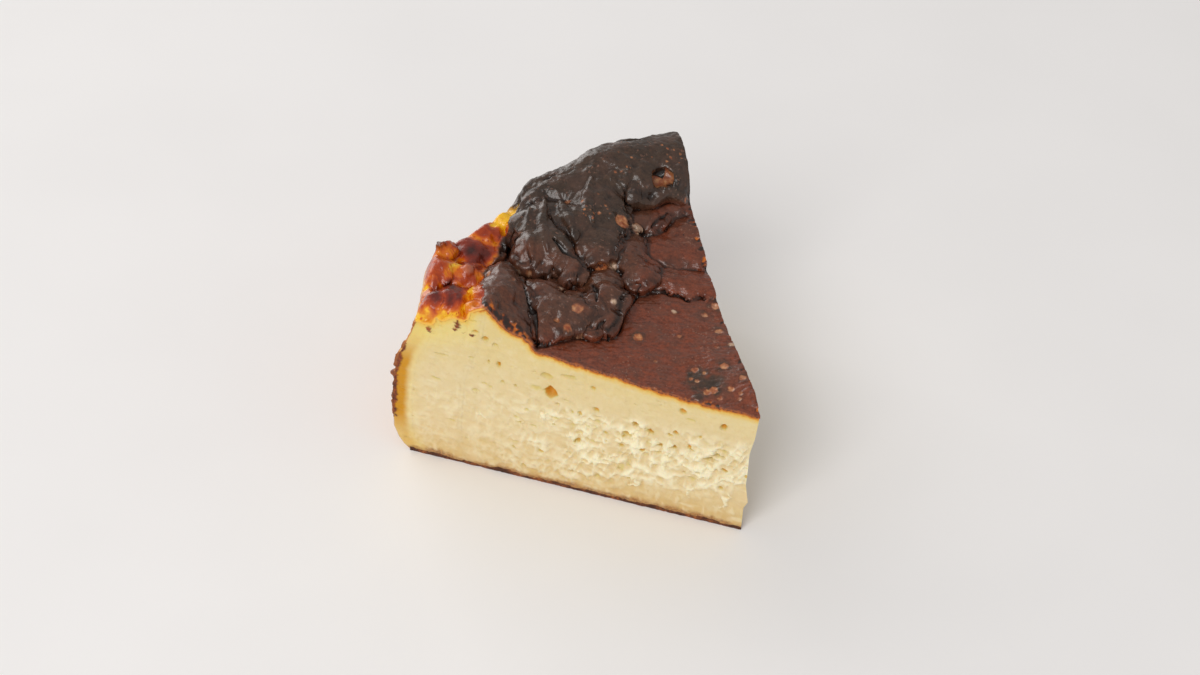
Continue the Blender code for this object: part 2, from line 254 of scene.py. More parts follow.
def crease_distance(x, y):
    """Distance in plan from the nearest line where two forms of the crust meet: their lead over its slope."""
    slope = np.hypot(lead(x + 0.2, y) - lead(x - 0.2, y), lead(x, y + 0.2) - lead(x, y - 0.2)) / 0.4
    return lead(x, y) / np.maximum(slope, 0.12) + 3 * fall(slope, 0.2, 0.7)


def wall_radius(height, turn):
    """Distance of the outer wall from the tip's foot, at a height and an angle round the cake."""
    degrees = np.degrees(turn)
    radius = np.interp(height, WALL_HEIGHTS, WALL_RADII)
    dip = WALL_DIP * np.exp(-((degrees - WALL_DIP_ANGLE) / WALL_DIP_WIDTH) ** 2)
    lean = WALL_STANDS_OUT * ease(degrees, -2, 14) - dip - WALL_STANDS_BACK * ease(degrees, 18, 28)
    radius = radius + lean * ease(height, WALL_LEANS_FROM, WALL_TOP + 1)
    round_wall = BULGE_RADIUS * turn
    folds = waves(round_wall, height * 0.25, PAPER_FOLD_PITCH, 5, 16)
    folded = 0.25 + ease(waves(round_wall, height * 0.8, PAPER_FOLD_PATCH, 6), -0.6, 1)
    return radius + PAPER_FOLD_DEPTH * folds * folded * ease(degrees, 0.5, 6) * ease(height, -1, 8)


def wall_top(turn):
    """Height where the wall turns into the top, at an angle round the cake."""
    swell = WALL_TOP_SWELL * np.sin(9 * turn)
    return WALL_TOP + swell + WALL_TOP_RISE * ease(np.degrees(turn), *LUMP_ANGLES)


def edge_lean(height):
    """How far the tip's edge stands out over its foot at a height."""
    return TIP_LEAN * height / PLATEAU_HEIGHT


def rim_reach(turn, height):
    """Distance from the leaning tip to the wall."""
    return wall_radius(height, turn) + edge_lean(height) * np.cos(turn)


def ring_start(ring):
    """Index of the first point of a ring, when ring k has k + 1 points."""
    return ring * (ring + 1) // 2


def fan(rings):
    """A wedge of triangles, k + 1 points in ring k: each point's ring, its place in it, and the triangles."""
    ring = np.repeat(np.arange(rings + 1), np.arange(rings + 1) + 1)
    place = np.arange(ring.size) - ring_start(ring)
    k = np.repeat(np.arange(1, rings + 1), np.arange(1, rings + 1))
    j = np.arange(k.size) - ring_start(k) + k
    outward = np.stack([ring_start(k - 1) + j, ring_start(k) + j + 1, ring_start(k) + j], axis=1)
    k, j = k[j < k - 1], j[j < k - 1]
    inward = np.stack([ring_start(k - 1) + j, ring_start(k - 1) + j + 1, ring_start(k) + j + 1], axis=1)
    return ring, place, np.concatenate([outward, inward])


def settle(x, y, triangles, on_near, on_far, fixed):
    """Slides the plan points toward steep flanks, until the edges over them are about equally long."""
    sides = np.concatenate([triangles[:, [0, 1]], triangles[:, [1, 2]], triangles[:, [2, 0]]])
    a, b = np.unique(np.sort(sides, axis=1), axis=0).T
    along_far = np.array([-np.cos(SLICE_ANGLE), np.sin(SLICE_ANGLE)])
    for _ in range(SETTLE_ROUNDS):
        z = crown(x, y)
        pull = np.sqrt((x[a] - x[b]) ** 2 + (y[a] - y[b]) ** 2 + (z[a] - z[b]) ** 2)
        weight = np.bincount(a, pull, x.size) + np.bincount(b, pull, x.size)
        new_x = (np.bincount(a, pull * x[b], x.size) + np.bincount(b, pull * x[a], x.size)) / weight
        new_y = (np.bincount(a, pull * y[b], x.size) + np.bincount(b, pull * y[a], x.size)) / weight
        new_y[on_near] = 0.0
        slide = (new_x[on_far] - TIP_LEAN) * along_far[0] + new_y[on_far] * along_far[1]
        new_x[on_far] = TIP_LEAN + slide * along_far[0]
        new_y[on_far] = slide * along_far[1]
        new_x[fixed], new_y[fixed] = x[fixed], y[fixed]
        x, y = (x + new_x) / 2, (y + new_y) / 2
    return x, y


def split_lattice(values, ring, place):
    """Values of a coarse fan read between its points: the mix of the three corners of each small triangle."""
    a, b = ring / SPLIT, place / SPLIT
    ka = np.minimum(np.floor(a).astype(int), COARSE_RINGS - 1)
    kb = np.minimum(np.floor(b).astype(int), ka)
    fa, fb = a - ka, b - kb
    below = fb <= fa
    near_corner = values[ring_start(ka) + kb]
    far_corner = values[ring_start(ka + 1) + kb + 1]
    side = np.where(below, ring_start(ka + 1) + kb, ring_start(ka) + np.minimum(kb + 1, ka))
    return (near_corner * (1 - np.maximum(fa, fb)) + values[side] * np.abs(fa - fb)
            + far_corner * np.minimum(fa, fb))


def flank_push(x, y, z):
    """Sideways bulge of a steep flank: down its slope, greatest at half its height."""
    slope_x = crown(x + 0.5, y) - crown(x - 0.5, y)
    slope_y = crown(x, y + 0.5) - crown(x, y - 0.5)
    slope = np.hypot(slope_x, slope_y)
    sides = [crown(x + FLANK_REACH * i, y + FLANK_REACH * j) for i, j in ((1, 0), (-1, 0), (0, 1), (0, -1))]
    low, high = np.minimum.reduce(sides), np.maximum.reduce(sides)
    level = np.clip((z - low) / np.maximum(high - low, 0.5), 0, 1)
    push = FLANK_PUSH * (high - low) * ease(slope, *FLANK_SLOPES) * np.sin(np.pi * level)
    push = np.minimum(push, FLANK_PUSH_LIMIT) / (slope + 1e-6)
    return -push * slope_x, -push * slope_y


def draws(cells, seed, count):
    """Random numbers from 0 to 1 that belong to a lattice's cells, by mixing their whole-number indices."""
    mixed = (cells * np.array([73856093, 19349663, 83492791])).sum(axis=1) + seed * 2654435761
    numbers = []
    for i in range(count):
        n = (mixed + i * 0x9E3779B9) & 0xFFFFFFFF
        for _ in range(2):
            n = ((n ^ (n >> 16)) * 0x45D9F3B) & 0xFFFFFFFF
        numbers.append((n ^ (n >> 16)) / 2 ** 32)
    return np.stack(numbers, axis=1)


def grain(points, size, seed):
    """Smooth random bumps of one size, about -1 to 1: each corner's random slope, blended by an S curve."""
    place = points / size
    cell = np.floor(place).astype(np.int64)
    inside = place - cell
    blend = inside ** 3 * (inside * (inside * 6 - 15) + 10)
    total = np.zeros(len(points))
    for corner in itertools.product((0, 1), repeat=3):
        slope = 2 * draws(cell + corner, seed, 3) - 1
        share = np.prod(np.where(corner, blend, 1 - blend), axis=1)
        total += share * np.einsum("ij,ij->i", slope, inside - corner)
    return 1.8 * total


def layered(points, *layers):
    """Random bumps of several sizes added up: the height, size and seed of each."""
    return sum(height * grain(points, size, seed) for height, size, seed in layers)


def cracks(points, size, seed, power):
    """Thin lines where random bumps of a size cross zero: 1 on a line, and thinner the higher the power."""
    return (1 - np.abs(grain(points, size, seed))) ** power


def dimples(points, spacing, radii, chance, seed):
    """Scattered round spots, 1 at a spot's middle and 0 outside: every cell holds one with a given chance."""
    cell = np.floor(points / spacing).astype(np.int64)
    deepest = np.zeros(len(points))
    for step in itertools.product((-1, 0, 1), repeat=3):
        draw = draws(cell + step, seed, 5)
        radius = radii[0] + (radii[1] - radii[0]) * draw[:, 3] ** 2
        gap = np.linalg.norm(points - (cell + step + draw[:, :3]) * spacing, axis=1) / radius
        deepest = np.maximum(deepest, np.where(draw[:, 4] < chance, 1 - gap ** 2, 0))
    return deepest


def seam(points, path, width):
    """A thin line, 1 along its path and 0 outside its width; it thins out at both ends."""
    nearest = np.full(len(points), 9.0)
    path = np.asarray(path, float)
    for i, (start, end) in enumerate(zip(path[:-1], path[1:])):
        way = end - start
        along = np.clip((points[:, :2] - start) @ way / (way @ way), 0, 1)
        gap = np.linalg.norm(points[:, :2] - start - along[:, None] * way, axis=1)
        from_end = (i + along) / (len(path) - 1)
        nearest = np.minimum(nearest, gap / (width * (0.35 + 0.65 * np.sin(np.pi * from_end))))
    return np.clip(1 - nearest ** 2, 0, 1)


def normals_of(points, triangles):
    """Unit normals at the points: the sum of the face normals round each one."""
    a, b, c = (points[triangles[:, i]] for i in range(3))
    face = np.cross(b - a, c - a)
    total = np.stack([sum(np.bincount(triangles[:, i], face[:, axis], len(points)) for i in range(3))
                      for axis in range(3)], axis=1)
    return total / np.linalg.norm(total, axis=1, keepdims=True)


def neighbour_mean(values, triangles, rounds):
    """Values averaged with their neighbours, round after round."""
    a = triangles.ravel()
    b = triangles[:, [1, 2, 0]].ravel()
    count = np.bincount(a, minlength=len(values)) + np.bincount(b, minlength=len(values))
    for _ in range(rounds):
        values = np.stack([(np.bincount(a, column[b], len(values)) + np.bincount(b, column[a], len(values)))
                           / count for column in values.T], axis=1)
    return values


def piece(name, points, triangles, material, sharp=60, **values):
    """A mesh from points and triangles, with one number a point in each named attribute."""
    mesh = bpy.data.meshes.new(name)
    mesh.vertices.add(len(points))
    mesh.vertices.foreach_set("co", from_tip(points).astype(np.float32).ravel())
    mesh.loops.add(3 * len(triangles))
    mesh.loops.foreach_set("vertex_index", triangles.astype(np.int32).ravel())
    mesh.polygons.add(len(triangles))
    mesh.polygons.foreach_set("loop_start", np.arange(0, 3 * len(triangles), 3, dtype=np.int32))
    mesh.update(calc_edges=True)
    mesh.validate()
    for attribute, numbers in values.items():
        layer = mesh.attributes.new(attribute, "FLOAT", "POINT")
        layer.data.foreach_set("value", np.asarray(numbers, np.float32))
    mesh.shade_smooth()
    mesh.set_sharp_from_angle(angle=np.radians(sharp))
    mesh.materials.append(material)
    thing = bpy.data.objects.new(name, mesh)
    bpy.context.scene.collection.objects.link(thing)
    return thing


class Finish:
    """A node material written as formulas: every method returns the socket that holds its result."""

    def __init__(self, name):
        self.material = bpy.data.materials.new(name)
        self.material.use_nodes = True
        self.tree = self.material.node_tree
        self.shader = self.tree.nodes["Principled BSDF"]
        self.place = self.node("ShaderNodeTexCoord").outputs["Object"]

    def node(self, kind, settings=(), **inputs):
        """A node with its settings made and its inputs linked or set."""
        node = self.tree.nodes.new(kind)
        for name, value in dict(settings).items():
            setattr(node, name, value)
        for name, value in inputs.items():
            self.put(node.inputs[int(name[1:])] if name[1:].isdigit() else node.inputs[name], value)
        return node

    def put(self, socket, value):
        """Links a socket, or sets its number or colour."""
        if isinstance(value, bpy.types.NodeSocket):
            self.tree.links.new(value, socket)
        else:
            socket.default_value = value

    def value(self, attribute):
        """One of the piece's own numbers."""
        return self.node("ShaderNodeAttribute", {"attribute_name": attribute}).outputs["Fac"]

    def maths(self, operation, a, b=0.0, c=0.0):
        """One sum on numbers."""
        return self.node("ShaderNodeMath", {"operation": operation}, _0=a, _1=b, _2=c).outputs[0]

    def plus(self, a, b):
        """Two numbers added."""
        return self.maths("ADD", a, b)

    def times(self, a, b):
        """Two numbers multiplied."""
        return self.maths("MULTIPLY", a, b)

    def jitter(self, value, noise, amount):
        """A number moved by noise of 0 to 1, up or down by at most half an amount."""
        return self.plus(value, self.maths("MULTIPLY_ADD", noise, amount, -amount / 2))

    def scaled(self, value, low, high, out_low=0.0, out_high=1.0):
        """A number's range moved smoothly to another range, and held there."""
        settings = {"interpolation_type": "SMOOTHSTEP"}
        return self.node("ShaderNodeMapRange", settings, _0=value, _1=low, _2=high, _3=out_low,
                         _4=out_high).outputs[0]

    def mottle(self, millimetres, detail=3.0, roughness=0.55, stretch=(1, 1, 1)):
        """Soft random patches of a size, from 0 to 1."""
        where = self.node("ShaderNodeMapping", _0=self.place, _3=stretch).outputs[0]
        return self.node("ShaderNodeTexNoise", Vector=where, Scale=1000 / millimetres, Detail=detail,
                         Roughness=roughness).outputs["Fac"]

    def blend(self, share, a, b, mode="MIX"):
        """Two colours mixed by a share."""
        settings = {"data_type": "RGBA", "blend_type": mode}
        return self.node("ShaderNodeMix", settings, _0=share, _6=a, _7=b).outputs[2]

    def coats(self, colour, *coats):
        """A colour with others laid over it in turn, each by its own share."""
        for share, over in coats:
            colour = self.blend(share, colour, over)
        return colour

    def stops(self, value, *colours):
        """A colour read from a scale of (place, colour) stops."""
        node = self.node("ShaderNodeValToRGB", Fac=value)
        scale = node.color_ramp
        scale.elements[0].position, scale.elements[0].color = colours[0]
        scale.elements[1].position, scale.elements[1].color = colours[-1]
        for place, colour in colours[1:-1]:
            scale.elements.new(place).color = colour
        return node.outputs["Color"]

    def bumps(self, *layers):
        """The surface's fine bumps: pairs of a height and how many millimetres it stands for."""
        normal = None
        for height, depth in layers:
            node = self.node("ShaderNodeBump", Height=height, Distance=depth / 1000, Strength=1.0)
            if normal is not None:
                self.put(node.inputs["Normal"], normal)
            normal = node.outputs[0]
        self.put(self.shader.inputs["Normal"], normal)
        self.put(self.shader.inputs["Coat Normal"], normal)

    def finish(self, colour, roughness, **fixed):
        """The shader's colour and roughness, and its fixed values."""
        self.put(self.shader.inputs["Base Color"], colour)
        self.put(self.shader.inputs["Roughness"], roughness)
        for name, value in fixed.items():
            self.shader.inputs[name.replace("_", " ")].default_value = value
        return self.material


def srgb(red, green, blue):
    """A colour from its 0 to 255 screen values, as the linear numbers that a shader reads."""
    screen = np.array([red, green, blue]) / 255
    linear = np.where(screen < 0.04045, screen / 12.92, ((screen + 0.055) / 1.055) ** 2.4)
    return (*linear.tolist(), 1.0)


def top_skin():
    """The fine top skin: settled plan points, the solid's crown over them, bulging flanks and a round rim."""
    ring, place, triangles = fan(COARSE_RINGS)
    turn = SLICE_ANGLE * np.where(ring > 0, place / np.maximum(ring, 1), 0.5)
    reach = ring / COARSE_RINGS * rim_reach(turn, wall_top(turn))
    x, y = TIP_LEAN - reach * np.cos(turn), reach * np.sin(turn)
    fixed = (ring == 0) | (ring == COARSE_RINGS)
    x, y = settle(x, y, triangles, place == 0, place == ring, fixed)
    ring, place, triangles = fan(COARSE_RINGS * SPLIT)
    x, y = split_lattice(x, ring, place), split_lattice(y, ring, place)
    reach, turn = np.hypot(x - TIP_LEAN, y), np.arctan2(y, TIP_LEAN - x)
    edge = rim_reach(turn, wall_top(turn))
    last_bit = np.clip((reach - edge + RIM_ROUNDING) / RIM_ROUNDING, 0, 1)
    reach = np.where(last_bit > 0, edge + RIM_ROUNDING * (np.sin(np.pi / 2 * last_bit) - 1), reach)
    x, y = TIP_LEAN - reach * np.cos(turn), reach * np.sin(turn)
    z = crown(x, y)
    push_x, push_y = flank_push(x, y, z)
    from_far_cut = reach * np.sin(SLICE_ANGLE - turn)
    hold = ease(y, 0, CUT_HOLD) * ease(from_far_cut, 0, CUT_HOLD) * ease(edge - reach, 0.5, WALL_HOLD)
    shoulder = np.clip((reach - edge + RIM_ROUNDING) / RIM_ROUNDING, 0, 1)
    shoulder[ring == COARSE_RINGS * SPLIT] = 1
    z = wall_top(turn) + (z - wall_top(turn)) * np.sqrt(1 - shoulder ** 2)
    lean = edge_lean(z - PLATEAU_HEIGHT)
    points = np.stack([x + lean + push_x * hold, y + push_y * hold, z], axis=1)
    return points, triangles, ring, place


skin, skin_triangles, skin_ring, skin_place = top_skin()
skin_normal = normals_of(skin, skin_triangles)
skin_x, skin_y, skin_z = skin.T
plan_turn, plan_reach = np.arctan2(skin_y, TIP_LEAN - skin_x), np.hypot(skin_x - TIP_LEAN, skin_y)
from_rim = rim_reach(plan_turn, wall_top(plan_turn)) - plan_reach
near_far_cut = plan_reach * np.sin(np.clip(SLICE_ANGLE - plan_turn, 0, 1.5))
from_crease = crease_distance(skin_x, skin_y)

GOLD_STARTS = 61.4                  # distance of the golden rim from the tip's foot at the near cut
GOLD_LEAN, GOLD_LEAN_LIMIT = 0.44, 6.8      # by how much that line leans outward, and at most
GOLD_ENDS = (37.5, 40.5)            # and how far from the near cut, and how high, the gold gives way to black
GOLD_TOP = (48.0, 49.4)
ragged = layered(skin, (1.6, 5.0, 31), (0.8, 2.0, 32))
into_gold = -skin_x - np.minimum(GOLD_LEAN * skin_y, GOLD_LEAN_LIMIT) - GOLD_STARTS
into_gold = into_gold + 0.5 * ragged + 0.25 * grain(skin, 0.9, 33)
golden = ease(into_gold, -0.3, 0.4) * fall(skin_y + ragged, *GOLD_ENDS) * fall(skin_z, *GOLD_TOP)
on_lobe = ease(skin_z - plateau(skin_x, skin_y), 0.5, 2.5) * (1 - golden)
on_lump = ease(skin_z, 44.5, 48.0) * on_lobe * ease(skin_y + 0.3 * skin_x, 6, 12)
on_fold = on_lobe * (1 - on_lump) * ease(skin_x + 0.15 * skin_y, -32.5, -29.5)
on_plateau = (1 - on_lobe) * (1 - golden)


def spot(middle, radius):
    """One round spot on the skin, 1 at its middle and 0 outside, by the distance along the surface."""
    way = skin - middle
    off = np.einsum("ij,ij->i", way, skin_normal)
    gap = np.sqrt(np.maximum(np.einsum("ij,ij->i", way, way) - off ** 2, 0)) / radius
    return np.clip(1 - gap ** 2, 0, 1) * fall(np.abs(off), 0.5 * radius + 0.8, 0.5 * radius + 2)


WRINKLE_WAY = (0.947, 0.321)        # the way that the fine wrinkles of the plateau run
DRAWN_UP = (1, 1, 0.6)              # on the lobes the fine patterns are drawn out upward
along_wrinkles = skin_x * WRINKLE_WAY[0] + skin_y * WRINKLE_WAY[1]
across_wrinkles = skin_y * WRINKLE_WAY[0] - skin_x * WRINKLE_WAY[1]
stretched = np.stack([along_wrinkles / 4.5, across_wrinkles, skin_z], axis=1)

relief = layered(skin, (0.06, 4.6, 21), (0.06, 2.1, 22), (0.025, 0.95, 23))
relief -= on_plateau * 0.11 * cracks(stretched, 1.3, 25, 5)
relief -= on_plateau * 0.06 * cracks(stretched * (1.6, 1, 1), 0.7, 29, 4)
relief += on_fold * 0.10 * grain(stretched, 2.2, 24) + on_plateau * 0.035 * grain(skin, 0.8, 10)
relief -= on_lobe * 0.09 * cracks(skin * DRAWN_UP, 1.5, 27, 6)
relief += on_lobe * (0.03 + 0.05 * on_lump) * grain(skin * DRAWN_UP, 0.8, 13)
relief += on_lobe * ease(grain(skin, 5.0, 26), -0.2, 0.5) * 0.11 * grain(skin, 1.3, 20)
relief += golden * (0.12 * grain(skin, 3.4, 28) - 0.10 * cracks(skin, 1.3, 30, 6))

# Down the steep outer side, where the skin hung smooth, only broad folds are left
hanging = fall(from_rim, 0.8, 2.6)
relief += hanging * (0.20 * grain(skin * (1, 1, 0.75), 4.6, 16) - 0.92 * relief)

# Broad ridges down the lump's side, where the light lies in streaks: path in plan, width, height
RIDGES = (
    (((-63.5, 34.7), (-61.9, 28.4), (-58.4, 23.0)), 1.7, 0.8),
    (((-61.8, 40.1), (-59.2, 31.2), (-55.8, 25.7)), 1.5, 0.6),
    (((-58.4, 40.3), (-55.1, 35.9), (-52.2, 32.5)), 1.6, 0.8),
    (((-53.0, 47.6), (-52.2, 41.3), (-48.9, 36.8)), 1.7, 0.8),
)
for path, width, height in RIDGES:
    relief += height * seam(skin, path, width) ** 1.5

# Next to the black skin the gold lies lower, so that the black ends in a step over it
relief -= 0.6 * ease(into_gold, -0.3, 0.4) * fall(into_gold, 0.5, 3.5) * ease(from_rim, 1.0, 4.0)

# Creases where two forms meet: cut into the skin, and painted dark along them as shade
creases = np.exp(-(from_crease / 0.30) ** 2) * (0.35 + 0.65 * (1 - golden)) * ease(from_rim, 1.5, 3.0)
creases = creases * np.clip(0.62 + 0.9 * grain(skin, 4.0, 58), 0.15, 1) * (1 - 0.45 * on_fold)
relief -= 0.60 * creases
shadow = (0.50 * np.exp(-(from_crease / 1.5) ** 2) * on_lobe * ease(from_rim, 1.0, 4.0)
          * np.clip(0.8 + grain(skin, 2.6, 14), 0.2, 1))

# Thin cracks and folds of the skin that are not between lobes, also painted dark as shade: path in plan,
# width, depth
SEAMS = (
    (((-55.4, 28.4), (-52.3, 26.9), (-49.0, 27.0), (-46.2, 25.2)), 0.9, 0.9),
    (((-49.7, 60.9), (-47.6, 62.6), (-46.2, 63.7)), 0.45, 0.7),
    (((-63.9, 44.5), (-61.6, 46.8)), 0.4, 0.5),
    (((-43.9, 22.2), (-41.7, 19.0), (-40.6, 15.7)), 0.6, 0.6),
    (((-37.8, 46.0), (-36.4, 49.2), (-35.5, 51.6)), 0.5, 0.5),
    (((-57.2, 13.8), (-55.5, 11.3), (-52.2, 7.5), (-50.6, 4.0), (-49.3, 1.2)), 0.55, 0.7),
    (((-34.3, 28.0), (-35.7, 19.3), (-34.7, 14.4), (-35.8, 10.2)), 0.7, 0.5),
    (((-37.2, 12.5), (-38.8, 9.6)), 0.5, 0.6),
)
for path, width, depth in SEAMS:
    line = seam(skin, path, width)
    relief -= depth * line ** 0.7
    creases = np.maximum(creases, line ** 0.5)

pits = dimples(skin, 3.1, (0.2, 0.6), 0.14, 41) * on_lobe * (1 - creases)
pinholes = dimples(skin, 1.5, (0.14, 0.30), 0.22, 42) * (1 - golden)
relief -= 0.30 * pits + 0.12 * pinholes
amber = 0.5 * ease(pits, 0.0, 0.3) * (dimples(skin, 9.0, (3.0, 6.0), 0.3, 43) > 0.3)
CLUSTERS = ((-47.5, 53.0, 54.0), (-39.0, 60.2, 54.0), (-50.0, 39.5, 50.0))
cluster = np.maximum.reduce([spot(middle, 5.0) for middle in CLUSTERS])
cluster = cluster * dimples(skin, 1.0, (0.20, 0.46), 0.5, 44)
amber = np.maximum(amber, 0.8 * ease(cluster, 0.05, 0.4))
relief -= 0.15 * cluster

# What shows singly: place, radius, how deep (or proud), how amber (below zero: painted shade), how pale
# Pale marks are milky drops and painted glints on proud bumps; amber below zero is painted shade at the big
# hole's rim
MARKS = (
    ((-38.2, 55.2, 51.2), 2.5, 1.6, 0.62, 0.0), ((-39.1, 56.2, 51.9), 1.2, 0.5, -0.8, 0.0),
    ((-43.1, 41.1, 46.9), 2.1, 0.5, 1.0, 0.0),
    ((-40.5, 43.7, 43.6), 1.5, -0.5, 0.3, 0.7), ((-44.1, 28.9, 41.9), 1.5, 0.5, 1.0, 0.0),
    ((-41.9, 30.5, 41.6), 1.3, -0.5, 0.3, 0.8), ((-44.1, 12.7, 41.4), 1.35, 0.3, 0.8, 0.1),
    ((-47.2, 7.9, 41.0), 0.8, 0.3, 0.7, 0.0), ((-61.6, 21.6, 41.6), 0.9, 0.2, 0.8, 0.2),
    ((-58.6, 21.1, 42.0), 0.8, 0.2, 0.7, 0.3), ((-59.2, 12.2, 46.4), 0.6, 0.4, 0.5, 0.0),
    ((-44.9, 7.7, 39.3), 1.0, 0.2, 1.0, 0.0), ((-42.6, 9.5, 37.9), 1.1, -0.2, 0.8, 0.4),
    ((-37.0, 17.4, 42.3), 0.8, -0.3, 0.2, 0.9), ((-50.1, 18.2, 41.8), 0.6, -0.2, 0.1, 0.8),
    ((-30.0, 14.1, 36.6), 1.2, 0.5, 1.0, 0.0), ((-65.6, 14.5, 44.6), 0.8, 0.2, 0.7, 0.2),
    ((-61.2, 21.2, 42.1), 0.6, -0.2, 0.2, 0.8), ((-56.5, 41.0, 48.7), 0.8, 0.2, 0.6, 0.0),
    ((-17.1, 30.7, 36.8), 1.1, 0.2, 1.0, 0.3), ((-18.6, 27.1, 36.4), 0.9, 0.3, 0.8, 0.2),
    ((-25.2, 25.3, 36.9), 0.7, -0.2, 0.2, 0.8), ((-13.8, 23.1, 36.1), 0.9, 0.2, 0.8, 0.2),
    ((-21.6, 18.1, 36.3), 0.6, 0.2, 0.6, 0.0), ((-9.5, 19.3, 36.1), 0.9, -0.2, 0.4, 0.7),
    ((-12.7, 17.5, 36.0), 0.7, 0.2, 0.7, 0.0), ((-9.0, 11.6, 36.0), 1.1, 0.2, 0.95, 0.1),
    ((-14.9, 8.9, 35.3), 0.9, 0.2, 0.85, 0.0), ((-12.6, 8.4, 35.4), 0.55, 0.2, 0.7, 0.0),
    ((-14.9, 6.1, 35.0), 0.5, 0.2, 0.8, 0.0), ((-13.4, 5.9, 35.0), 0.55, 0.2, 0.8, 0.1),
    ((-9.2, 4.3, 34.8), 1.05, 0.2, 0.9, 0.0), ((-10.4, 3.4, 34.8), 0.9, 0.3, 0.9, 0.0),
    ((-5.4, 5.2, 35.4), 0.8, 0.2, 0.85, 0.0), ((-7.0, 2.6, 34.5), 0.6, 0.2, 0.8, 0.0),
    ((-2.8, 2.9, 35.2), 0.5, 0.2, 0.7, 0.1), ((-2.9, 4.2, 35.4), 0.6, 0.2, 0.6, 0.0),
    ((-3.8, 8.8, 36.4), 0.9, 0.2, 0.9, 0.2), ((-24.0, 8.4, 35.6), 0.5, 0.2, 0.5, 0.0),
    ((-70.6, 14.0, 45.2), 1.7, -0.5, 0.1, 0.15),
)
pale, halo = np.zeros(len(skin)), np.zeros(len(skin))
for middle, radius, depth, glow, white in MARKS:
    halo = np.maximum(halo, min(radius, 1.0) * spot(middle, 2.6 * radius))
    mark = spot(middle, 0.95 * radius + min(0.30 * radius, 0.22) * grain(skin, 0.9, 45))
    relief -= depth * mark ** 0.6
    amber = amber + ease(mark, 0, 0.3) * (glow - amber)
    pale = np.maximum(pale, white * ease(mark * (1 + 0.8 * grain(skin, 0.6, 53)), 0.15, 0.8))

# Where the knife broke the crust's edge: a fringe of dark crumbs on orange, widest on the near lobe
near_width = -0.25 + 0.5 * grain(skin, 6.0, 19) + 2.1 * ease(-skin_x, 48.5, 53) * fall(-skin_x, 64, 67)
near_width += 1.5 * ease(-skin_x, 6, 7) * fall(-skin_x, 9, 10.5)
fringe = fall(skin_y - near_width * (1 + 0.8 * grain(skin, 1.6, 46)), -0.15, 0.3)
far_tears = 0.8 * ease(grain(skin, 1.7, 47), 0.15, 0.6) * (1 - on_lump)
fringe = np.maximum(fringe, fall(near_far_cut - far_tears, -0.1, 0.3) * (far_tears > 0.1))
crumbly = layered(skin, (0.55, 0.75, 48), (0.75, 1.5, 12))
relief += fringe * (0.30 * crumbly - 0.25)

# A scorched patch near the tip, a flap of skin over the near cut, and the ragged tip of the golden rim
scorch_spot = np.clip(spot((-12.8, 6.3, 35.0), 4.6) + spot((-9.4, 6.0, 35.0), 3.4), 0, 1)
flap = spot((-11.6, 1.0, 34.5), 1.5)
tip_of_rim = spot((-79.8, 18.4, 47.0), 1.7)
relief += 0.5 * flap + 1.3 * tip_of_rim * (0.5 + grain(skin, 0.9, 49))
char = 0.50 * on_lobe + 0.45 * on_lump - 0.32 * on_fold + flap
char += 0.95 * scorch_spot * (0.75 + 0.7 * grain(skin, 1.5, 50))
char += 0.75 * on_plateau * halo * np.clip(0.6 + grain(skin, 1.6, 11), 0, 1)

# The golden rim: yellow in its creases and at its edges, maroon on the domes: place, radius, how much deeper
DOMES = (
    ((-72.4, 5.6, 44.8), 5.2, 0.30), ((-76.6, 10.5, 46.3), 4.2, -0.06), ((-75.8, 23.2, 44.4), 4.2, 0.14),
    ((-71.4, 22.4, 43.6), 3.8, 0.28), ((-71.8, 31.0, 44.5), 3.6, 0.02), ((-79.6, 7.2, 42.0), 3.0, -0.30),
    ((-66.6, 7.0, 44.6), 3.2, -0.26), ((-72.8, 13.6, 45.4), 3.0, -0.20), ((-64.0, 2.5, 44.0), 3.2, -0.20),
)
gilt = 0.42 + 0.14 * ease(from_crease, 0.6, 2.4) - 0.20 * fall(from_crease, 0.0, 1.0)
gilt += 0.16 * grain(skin, 3.1, 52)
for middle, radius, deeper in DOMES:
    gilt = gilt + deeper * ease(spot(middle, radius), 0, 0.7)
bare = ease(skin_x + 0.4 * ragged, -72.6, -71.4) * ease(skin_y + 0.5 * ragged, 32.0, 33.5)
gilt = gilt * (1 - bare) - 0.30 * fall(from_rim, 0.2, 2.0)
drips = skin_y + 1.6 * grain(skin * (1, 0.4, 0.4), 1.6, 57)
gilt -= 0.12 * fall(drips, 0.6, 2.8) + 0.10 * fall(drips, -0.6, 0.8)
cavity_spot = spot((-66.6, 29.8, 41.5), 3.0)
gilt = np.clip(gilt + cavity_spot, 0, 1)
# Creases' painted shade fades on the gold; the rim's tip is burnt black; the cavity is painted dark as shade
creases = np.maximum.reduce([creases * (1 - 0.85 * golden), tip_of_rim ** 0.8,
                             ease(cavity_spot, 0.1, 0.6) * np.clip(0.75 + grain(skin, 1.0, 15), 0, 1)])

last_ring = COARSE_RINGS * SPLIT
on_near, on_far = skin_place == 0, skin_place == skin_ring
far_out = np.array([np.sin(SLICE_ANGLE), np.cos(SLICE_ANGLE), 0.0])


def onto_cuts(points, near, far):
    """Points of the two cut edges laid back onto the flat cut faces."""
    points = points.copy()
    points[near, 1] = 0.0
    off = (points[:, 0] - edge_lean(points[:, 2])) * far_out[0] + points[:, 1] * far_out[1]
    points[far] -= off[far, None] * far_out
    return points


skin = onto_cuts(skin + skin_normal * relief[:, None], on_near, on_far)
flat_normal = normals_of(skin, skin_triangles)
flat_normal[on_near, 1] = 0.0
flat_normal[on_far] -= (flat_normal[on_far] @ far_out)[:, None] * far_out
flat_normal /= np.linalg.norm(flat_normal, axis=1, keepdims=True)
# How far each point lies below its smoothed neighbours: the crust's hollows are painted darker by it, as
# shade
smooth_skin = neighbour_mean(skin, skin_triangles, 14)
cavity = np.einsum("ij,ij->i", smooth_skin - skin, flat_normal)

